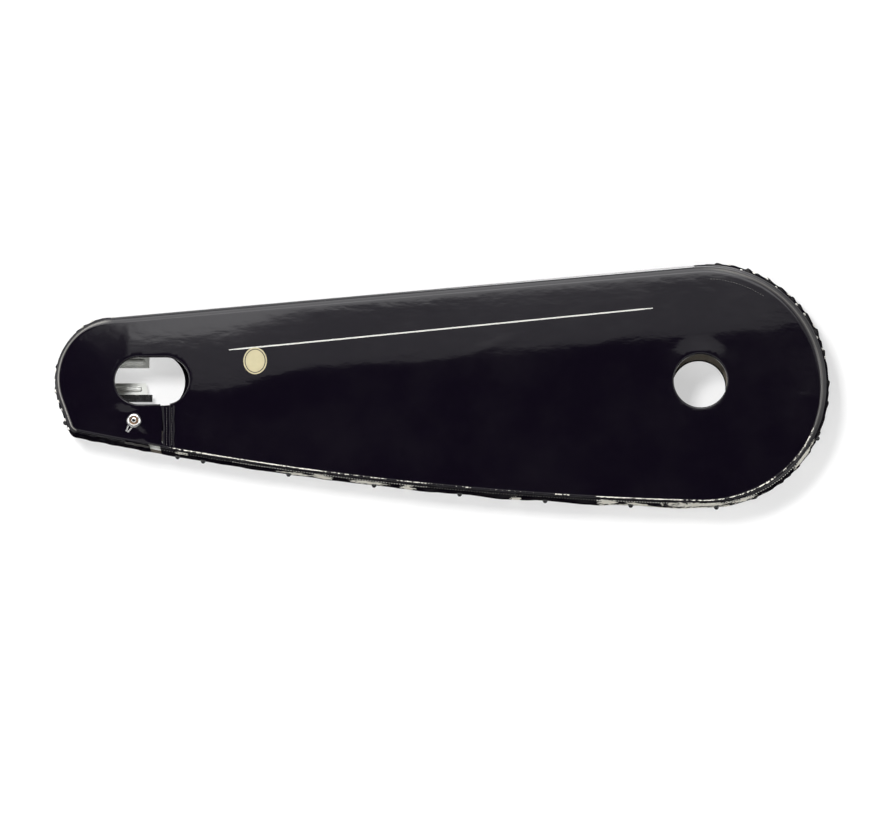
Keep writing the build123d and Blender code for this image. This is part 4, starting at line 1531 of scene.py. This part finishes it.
def face_line(finish, cover):
    """Pressed-on line, which tapers to both ends."""
    first = Vector((-423.0 * MM, 27.6 * MM))
    last = Vector((-42.5 * MM, 65.8 * MM))
    run = last - first
    width = 1.25 * MM
    taper = 14.0 * MM
    blunt_end = 0.6
    line = add_piece(
        "face_line", bpy.ops.mesh.primitive_grid_add, x_subdivisions=260, y_subdivisions=2, size=1.0
    )
    bpy.ops.object.mode_set(mode="EDIT")
    bpy.ops.transform.resize(value=(run.length, width, 1.0))
    shape = bmesh.from_edit_mesh(line.data)
    for vert in shape.verts:
        from_end = run.length / 2 - abs(vert.co.x)
        vert.co.y *= mix(blunt_end, 1.0, smooth(0.0, taper, from_end))
    bmesh.update_edit_mesh(line.data)
    bpy.ops.object.mode_set(mode="OBJECT")
    line.rotation_euler = (UPRIGHT, -math.atan2(run.y, run.x), 0.0)
    line.location = at_depth((first + last) / 2, IN_FRONT)
    bpy.ops.object.transform_apply(location=True, rotation=True, scale=True)
    line.data.materials.append(pressed_foil("line_foil", finish.line))
    lay_on(line, cover, 0.07 * MM)
    return line


# Steps inwards from the badge's edge: width in millimetres, and the finish of what lies within
BADGE_STEPS = ((1.2, 1), (0.8, 0), (3.0, 0))


def face_badge(finish, cover):
    """Plain oval badge with a dark ring inside its edge."""
    middle = (-399.5 * MM, IN_FRONT, 17.6 * MM)
    radius = 10.6 * MM
    stretch = 1.15
    badge = add_piece(
        "face_badge",
        bpy.ops.mesh.primitive_circle_add,
        vertices=72,
        radius=radius,
        fill_type="NGON",
        location=middle,
        rotation=(UPRIGHT, 0.0, 0.0),
    )
    badge.data.materials.append(pressed_foil("badge_foil", finish.badge))
    badge.data.materials.append(pressed_foil("badge_ring_foil", finish.coat))
    bpy.ops.object.mode_set(mode="EDIT")
    bpy.ops.mesh.select_all(action="SELECT")
    bpy.ops.transform.resize(value=(1.0, 1.0, stretch), center_override=middle)
    for width, finish_number in BADGE_STEPS:
        bpy.ops.mesh.inset(thickness=width * MM, depth=0.0)
        badge.active_material_index = finish_number
        bpy.ops.object.material_slot_assign()
    bpy.ops.object.mode_set(mode="OBJECT")
    lay_on(badge, cover, 0.09 * MM)
    return badge


class GUARD_OT_trim(bpy.types.Operator):
    """Pressed-on line along the face, and the plain badge under it"""

    bl_idname = "guard.trim"
    bl_label = "Trim"

    def execute(self, context):
        finish = context.scene.guard_finish
        cover = bpy.data.objects["cloth_front_cover"]
        settle(face_line(finish, cover), "coated_cloth")
        settle(face_badge(finish, cover), "coated_cloth")
        return {"FINISHED"}


def make_stitch(long, wide):
    """One stitch along X, rounded above and cut flat below."""
    stitch = add_piece(
        "stitch",
        bpy.ops.mesh.primitive_uv_sphere_add,
        segments=8,
        ring_count=6,
        radius=1.0,
        rotation=(0.0, UPRIGHT, 0.0),
    )
    bpy.ops.object.mode_set(mode="EDIT")
    bpy.ops.mesh.select_all(action="SELECT")
    bpy.ops.transform.resize(value=(long / 2, wide / 2, wide / 2))
    bpy.ops.mesh.bisect(
        plane_co=(0.0, 0.0, -0.15 * wide), plane_no=(0.0, 0.0, 1.0), clear_inner=True, use_fill=True
    )
    bpy.ops.object.mode_set(mode="OBJECT")
    return stitch


def sew(name, stitch, places, material):
    """Copies of a stitch at places with their direction and outward side, as one piece."""
    row = bmesh.new()
    for place, along, out in places:
        along = along.normalized()
        side = out.cross(along).normalized()
        up = along.cross(side)
        turn_to = Matrix((along, side, up)).transposed().to_4x4()
        copy = stitch.data.copy()
        copy.transform(Matrix.Translation(place) @ turn_to)
        row.from_mesh(copy)
        bpy.data.meshes.remove(copy)
    mesh = bpy.data.meshes.new(name)
    row.to_mesh(mesh)
    row.free()
    mesh.materials.append(material)
    piece = new_object(name, mesh)
    bpy.ops.object.shade_smooth_by_angle(angle=math.radians(60))
    settle(piece, "coated_cloth")


def along_path(path, pitch):
    """Places at an even pitch along a path of points that come with an outward direction."""
    places = []
    left = pitch / 2
    for (start, out), (end, end_out) in zip(path, path[1:]):
        step = end - start
        while left < step.length:
            share = left / step.length
            places.append((start + step * share, step, mix(out, end_out, share)))
            left += pitch
        left -= step.length
    return places


# Stretches of the bottom seam where pale thread paints the seam's highlight
HIGHLIT_SEAMS = ((-420.0 * MM, -245.0 * MM), (-95.0 * MM, 110.0 * MM))


def seam_highlit(x):
    """Whether the bottom seam gets pale thread as painted highlight at a place."""
    return any(first < x < last for first, last in HIGHLIT_SEAMS)


# How deep a stitch sinks into the cloth
SUNK = 0.04 * MM


def bottom_seam(case):
    """Stitches along the bottom hem, up into the crank end's hem."""
    beside_fold = 0.2
    crank_end = 0.19
    pitch = 2.4 * MM
    places = []
    for spans, lift in ((BOTTOM_HEM, bottom_lift), (CRANK_HEM, crank_lift)):
        path = []
        for station, along in measured(stations(case, spans)):
            if station.span == "crank" and station.share > crank_end:
                break
            point, out = hem_point(case, station, along, beside_fold, lift)
            path.append((point, at_depth(out, 0.0)))
        places += along_path(path, pitch)
    return places


def face_seams(case):
    """Stitches in two rows down the turned edge of the slit, and in one across the face at the crank end."""
    edge = outline(case, 1)
    front = Vector((0.0, -1.0, 0.0))
    top = -case.slot_width / 2 - 3.0 * MM
    slit_pitch = 2.3 * MM
    steps = 24
    places = []
    for across in (3.4 * MM, 8.0 * MM):
        x = case.slit_x + across
        low = slit_bottom(case, edge, x)
        lift = binding_lift(case, across) - SUNK
        seam = [Vector((x, mix(top, low, step / steps))) for step in range(steps + 1)]
        places += along_path([(face_point(case, edge, point, lift), front) for point in seam], slit_pitch)
    arc_radius = edge.crank_radius - 12.2 * MM
    arc_pitch = 2.6 * MM
    seam = [edge.crank + unit(math.radians(angle)) * arc_radius for angle in range(56, 89, 2)]
    return places + along_path([(face_point(case, edge, point, -SUNK), front) for point in seam], arc_pitch)


def back_seam(case):
    """Stitches round the back panel."""
    behind = Vector((0.0, 1.0, 0.0))
    inset = 7.5 * MM
    pitch = 3.2 * MM
    path = []
    for station in stations(case, RIM_SPANS, closed=True):
        point = station.back - station.back_out * inset
        y = case.depth / 2 + back_height(point, inset) - SUNK
        path.append((at_depth(point, y), behind))
    return along_path([*path, path[0]], pitch)


def gather_glint_tacks(case):
    """Pale tacks in the gathers at both ends, about one for each, painted as the gathers' glints."""
    ends = (
        (TAIL_HEM[:2], tail_lift, case.tail_pleat_pitch),
        (CRANK_HEM, crank_lift, case.crank_pleat_pitch),
    )
    places = []
    for spans, lift, pitch in ends:
        gathers = 0
        for station, along in measured(stations(case, spans)):
            untacked = station.span == "crank" and not 0.5 < station.share < 0.93
            if untacked or along < gathers * pitch:
                continue
            gathers = int(along / pitch) + 1
            share = 0.42 + 0.22 * math.sin(gathers * 2.3)
            point, out = hem_point(case, station, along, share, lift)
            way = Vector((-out.y, 0.35 * math.sin(gathers * 1.7), out.x))
            places.append((point, way, at_depth(out, 0.0)))
    return places


class GUARD_OT_stitches(bpy.types.Operator):
    """Rows of stitches along the seams, and the pale tacks that hold the gathers and stand for their glints
    """

    bl_idname = "guard.stitches"
    bl_label = "Stitches"

    def execute(self, context):
        case = context.scene.guard_case
        finish = context.scene.guard_finish
        small = make_stitch(1.5 * MM, 0.5 * MM)
        broad = make_stitch(1.35 * MM, 1.3 * MM)
        large = make_stitch(3.0 * MM, 2.6 * MM)
        seam = bottom_seam(case)
        # Painted highlight: pale thread on the lit stretches, black thread elsewhere
        pale = [stitch for stitch in seam if seam_highlit(stitch[0].x)]
        dark = [stitch for stitch in seam if not seam_highlit(stitch[0].x)]
        sew("bottom_stitches", broad, pale, thread(finish))
        sew("bottom_stitches_dark", broad, dark, black_thread(finish))
        sew("face_stitches", small, face_seams(case), black_thread(finish))
        sew("back_stitches", small, back_seam(case), black_thread(finish))
        sew("gather_glint_tacks", large, gather_glint_tacks(case), thread(finish))
        for used in (small, broad, large):
            bpy.data.objects.remove(used)
        return {"FINISHED"}


# Steps of the stud's cap from its rim to its middle: how far in and how far out, in millimetres
CAP_STEPS = ((0.8, 1.1), (0.8, 0.75), (0.75, 0.35), (0.35, -1.25), (1.25, 0.0), (0.35, 0.75), (0.75, 0.3))


class GUARD_OT_stud(bpy.types.Operator):
    """Cap of the press stud"""

    bl_idname = "guard.stud"
    bl_label = "Stud cap"

    def execute(self, context):
        case = context.scene.guard_case
        finish = context.scene.guard_finish
        radius = 6.5 * MM
        edge_height = 0.8 * MM
        under_y = -case.depth / 2 - 1.6 * MM
        cap = add_piece(
            "stud_cap_domed",
            bpy.ops.mesh.primitive_cylinder_add,
            vertices=64,
            radius=radius,
            depth=edge_height,
            location=(case.stud_x, under_y - edge_height / 2, case.stud_z),
            rotation=(UPRIGHT, 0.0, 0.0),
        )
        cap.data.materials.append(chrome(finish))
        cap.data.materials.append(brass(finish))
        bpy.ops.object.mode_set(mode="EDIT")

        # Post behind the cap
        post_radius = 2.0 * MM
        post_length = 3.2 * MM
        choose_faces(cap, lambda middle, normal: normal.y > 0.9)
        bpy.ops.mesh.inset(thickness=radius - post_radius, depth=0.0)
        bpy.ops.mesh.extrude_region_move(TRANSFORM_OT_translate={"value": (0.0, post_length, 0.0)})

        # Dome with a sunk ring round a small boss
        choose_faces(cap, lambda middle, normal: normal.y < -0.9)
        for inward, outward in CAP_STEPS:
            bpy.ops.mesh.inset(thickness=inward * MM, depth=outward * MM)
        bpy.ops.object.mode_set(mode="OBJECT")
        # Painted reflection: the sunk ring gets brass, standing for a reddish-brown reflection in the chrome
        # cap
        ring_inside = 2.3 * MM
        ring_outside = 3.72 * MM
        centre = Vector((case.stud_x, case.stud_z))
        for face in cap.data.polygons:
            away = (Vector((face.center.x, face.center.z)) - centre).length
            brown_reflection_ring = face.normal.y < 0.0 and ring_inside < away < ring_outside
            face.material_index = 1 if brown_reflection_ring else 0
        soften = cap.modifiers.new("edges", "BEVEL")
        soften.width = 0.22 * MM
        soften.segments = 3
        soften.limit_method = "ANGLE"
        soften.angle_limit = math.radians(20)
        bpy.ops.object.modifier_apply(modifier=soften.name)
        bpy.ops.object.shade_smooth_by_angle(angle=math.radians(50))
        settle(cap, "stud_chrome", "stud_cap")
        return {"FINISHED"}


class GUARD_OT_metal(bpy.types.Operator):
    """Finishes of the wire frame, the axle fork and the small metal parts"""

    bl_idname = "guard.metal"
    bl_label = "Metal finishes"

    def execute(self, context):
        finish = context.scene.guard_finish
        finishes = (
            (zinc, ("front_wire", "back_wire", "frame_spacers", "back_stays", "axle_fork", "fork_rivets")),
            (enamel, ("fork_strip", "hem_rivets")),
            (chrome, ("stud_hairpin",)),
            (brass, ("stud_socket", "stud_ball", "stud_eyelet")),
        )
        for metal, names in finishes:
            for name in names:
                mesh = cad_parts[name].data
                mesh.materials.clear()
                mesh.materials.append(metal(finish))
        return {"FINISHED"}


def background_mask(tree, path):
    """Mask of the rays that see the background, from a Light Path node."""
    seen = arithmetic(tree, "MAXIMUM", path.outputs["Is Camera Ray"], path.outputs["Is Glossy Ray"])
    return arithmetic(tree, "MAXIMUM", seen, path.outputs["Is Transmission Ray"])


def paper(name, tint, brightness):
    """White paper that is seen from the front only, and lets light through to the guard's back."""
    material = bpy.data.materials.new(name)
    material.use_nodes = True
    tree = material.node_tree
    tree.nodes.remove(tree.nodes["Principled BSDF"])
    matt = node(tree, "ShaderNodeBsdfDiffuse", None, Color=(*tint, 1.0))
    path = node(tree, "ShaderNodeLightPath")
    glow = node(tree, "ShaderNodeEmission")
    shining = arithmetic(tree, "MULTIPLY", background_mask(tree, path), brightness)
    link(tree, shining, glow.inputs["Strength"])
    both = node(tree, "ShaderNodeAddShader")
    link(tree, matt.outputs[0], both.inputs[0])
    link(tree, glow.outputs[0], both.inputs[1])
    side = node(tree, "ShaderNodeNewGeometry")
    near_by = 0.08
    close = arithmetic(tree, "LESS_THAN", path.outputs["Ray Length"], near_by)
    open_way = arithmetic(tree, "MAXIMUM", close, path.outputs["Is Shadow Ray"])
    open_way = arithmetic(tree, "MAXIMUM", open_way, side.outputs["Backfacing"])
    pick = node(tree, "ShaderNodeMixShader")
    link(tree, open_way, pick.inputs["Fac"])
    link(tree, both.outputs[0], pick.inputs[1])
    link(tree, node(tree, "ShaderNodeBsdfTransparent").outputs[0], pick.inputs[2])
    link(tree, pick.outputs[0], tree.nodes["Material Output"].inputs["Surface"])
    return material


def add_camera(scene, stage, aim):
    """Camera in front of the guard, a little below its level."""
    lens = bpy.data.cameras.new("camera")
    lens.lens = stage.lens
    lens.sensor_width = 36.0
    camera = bpy.data.objects.new("camera", lens)
    scene.collection.objects.link(camera)
    rise = stage.camera_elevation
    away = Vector((0.0, -math.cos(rise), math.sin(rise)))
    camera.location = aim + away * stage.camera_distance
    camera.rotation_euler = (-away).to_track_quat("-Z", "Y").to_euler()
    scene.camera = camera


def add_lamp(scene, name, place, aim, size, watts, lights, mirrored):
    """Lamp turned to the guard, which may light it, be mirrored in it, or both."""
    light = bpy.data.lights.new(name, "AREA")
    light.shape = "RECTANGLE"
    light.size, light.size_y = size
    light.energy = watts
    lamp = bpy.data.objects.new(name, light)
    scene.collection.objects.link(lamp)
    lamp.location = aim + Vector(place)
    lamp.rotation_euler = (aim - lamp.location).to_track_quat("-Z", "Y").to_euler()
    lamp.visible_diffuse = lights
    lamp.visible_glossy = mirrored


def add_world(scene, ambient):
    """World that is white where it is seen, and softer where it lights."""
    world = bpy.data.worlds.new("studio")
    scene.world = world
    world.use_nodes = True
    tree = world.node_tree
    level = node(tree, "ShaderNodeMapRange", None, To_Min=ambient, To_Max=1.0)
    link(tree, background_mask(tree, node(tree, "ShaderNodeLightPath")), level.inputs["Value"])
    background = tree.nodes["Background"]
    background.inputs["Color"].default_value = (1.0, 1.0, 1.0, 1.0)
    link(tree, level.outputs["Result"], background.inputs["Strength"])


def add_plane(name, material, size, place, tilt):
    """Plane of a width and height in metres, level or tilted up."""
    plane = add_piece(name, bpy.ops.mesh.primitive_plane_add, size=1.0)
    bpy.ops.object.mode_set(mode="EDIT")
    bpy.ops.transform.resize(value=(*size, 1.0))
    bpy.ops.object.mode_set(mode="OBJECT")
    plane.location = place
    plane.rotation_euler = (tilt, 0.0, 0.0)
    bpy.ops.object.transform_apply(location=True, rotation=True, scale=True)
    plane.data.materials.append(material)
    return plane


class GUARD_OT_stage(bpy.types.Operator):
    """Camera, lamps, backdrop and floor"""

    bl_idname = "guard.stage"
    bl_label = "Stage"

    def execute(self, context):
        stage = context.scene.guard_stage
        scene = context.scene
        scene.view_settings.view_transform = "Standard"
        aim = Vector((stage.aim_x, 0.0, stage.aim_z))
        add_camera(scene, stage, aim)
        add_world(scene, stage.ambient)

        # Lamps: place from the aim, size, power, whether each lights and whether it is mirrored
        for name, place, size, watts, lights, mirrored in (
            ("top_lamp", (-0.4, -0.9, 2.1), (2.8, 2.4), stage.top_power, False, True),
            ("upper_lamp", (0.5, -3.3, 2.15), (2.4, 1.6), stage.upper_power, False, True),
            ("key_lamp", (-1.0, -2.7, 0.85), (0.7, 0.7), stage.key_power, True, False),
            ("left_lamp", (-2.6, -1.0, 0.1), (0.5, 1.8), stage.side_power, True, True),
            ("right_lamp", (2.4, -1.0, 0.1), (0.5, 1.8), stage.side_power, True, True),
            ("low_lamp", (-0.1, -1.9, -1.3), (1.4, 0.3), stage.low_power, True, False),
            ("back_lamp", (0.6, 1.2, 2.2), (1.6, 0.9), stage.back_power, True, True),
        ):
            add_lamp(scene, name, place, aim, size, watts, lights, mirrored)

        # Backdrop behind the guard and a floor far below
        wall_y = 23.5 * MM
        floor_z = -1.6
        wall_paper = paper("backdrop_paper", stage.wall, stage.glow)
        wall = add_plane("backdrop", wall_paper, (12.0, 12.0), (aim.x, wall_y, 5.0), UPRIGHT)
        floor_paper = paper("floor_paper", stage.wall, stage.floor_glow)
        floor = add_plane("floor", floor_paper, (24.0, 24.0), (aim.x, 0.0, floor_z), LEVEL)

        # Dark cards in front, behind and below, which only reflections see; the upright ones cast shadows
        dark, _, _ = new_material("dark_card", Base_Color=(0.01, 0.01, 0.01, 1.0), Roughness=1.0)
        for name, size, place, tilt in (
            ("dark_card", (12.0, 12.0), (aim.x, -8.0, -4.34), UPRIGHT),
            ("dark_flag", (5.3, 6.0), (aim.x - 4.11, -8.0, 2.81), UPRIGHT),
            ("back_card", (12.0, 4.0), (aim.x, 3.0, -2.37), UPRIGHT),
            ("low_card", (6.0, 3.0), (aim.x, 0.7, -1.55), LEVEL),
        ):
            card = add_plane(name, dark, size, place, tilt)
            card.visible_camera = False
            card.visible_diffuse = False
            card.visible_shadow = tilt == UPRIGHT
        return {"FINISHED"}


STEPS = (
    GUARD_OT_front_cover,
    GUARD_OT_back_panel,
    GUARD_OT_hems,
    GUARD_OT_slit,
    GUARD_OT_trim,
    GUARD_OT_stitches,
    GUARD_OT_stud,
    GUARD_OT_metal,
    GUARD_OT_stage,
)


class GUARD_PT_pieces(bpy.types.Panel):
    """Pieces of the chain guard"""

    bl_idname = "GUARD_PT_pieces"
    bl_label = "Chain guard"
    bl_space_type = "VIEW_3D"
    bl_region_type = "UI"
    bl_category = "Chain guard"

    def draw(self, context):
        for step in STEPS:
            self.layout.operator(step.bl_idname)


CLASSES = (GuardCase, GuardFinish, GuardStage, *STEPS, GUARD_PT_pieces)


def register():
    for made in CLASSES:
        bpy.utils.register_class(made)
    bpy.types.Scene.guard_case = PointerProperty(type=GuardCase)
    bpy.types.Scene.guard_finish = PointerProperty(type=GuardFinish)
    bpy.types.Scene.guard_stage = PointerProperty(type=GuardStage)


def unregister():
    del bpy.types.Scene.guard_stage
    del bpy.types.Scene.guard_finish
    del bpy.types.Scene.guard_case
    for made in reversed(CLASSES):
        bpy.utils.unregister_class(made)


def main():
    register()
    bpy.ops.guard.front_cover()
    bpy.ops.guard.back_panel()
    bpy.ops.guard.hems()
    bpy.ops.guard.slit()
    bpy.ops.guard.trim()
    bpy.ops.guard.stitches()
    bpy.ops.guard.stud()
    bpy.ops.guard.metal()
    bpy.ops.guard.stage()


if __name__ == "__main__":
    main()
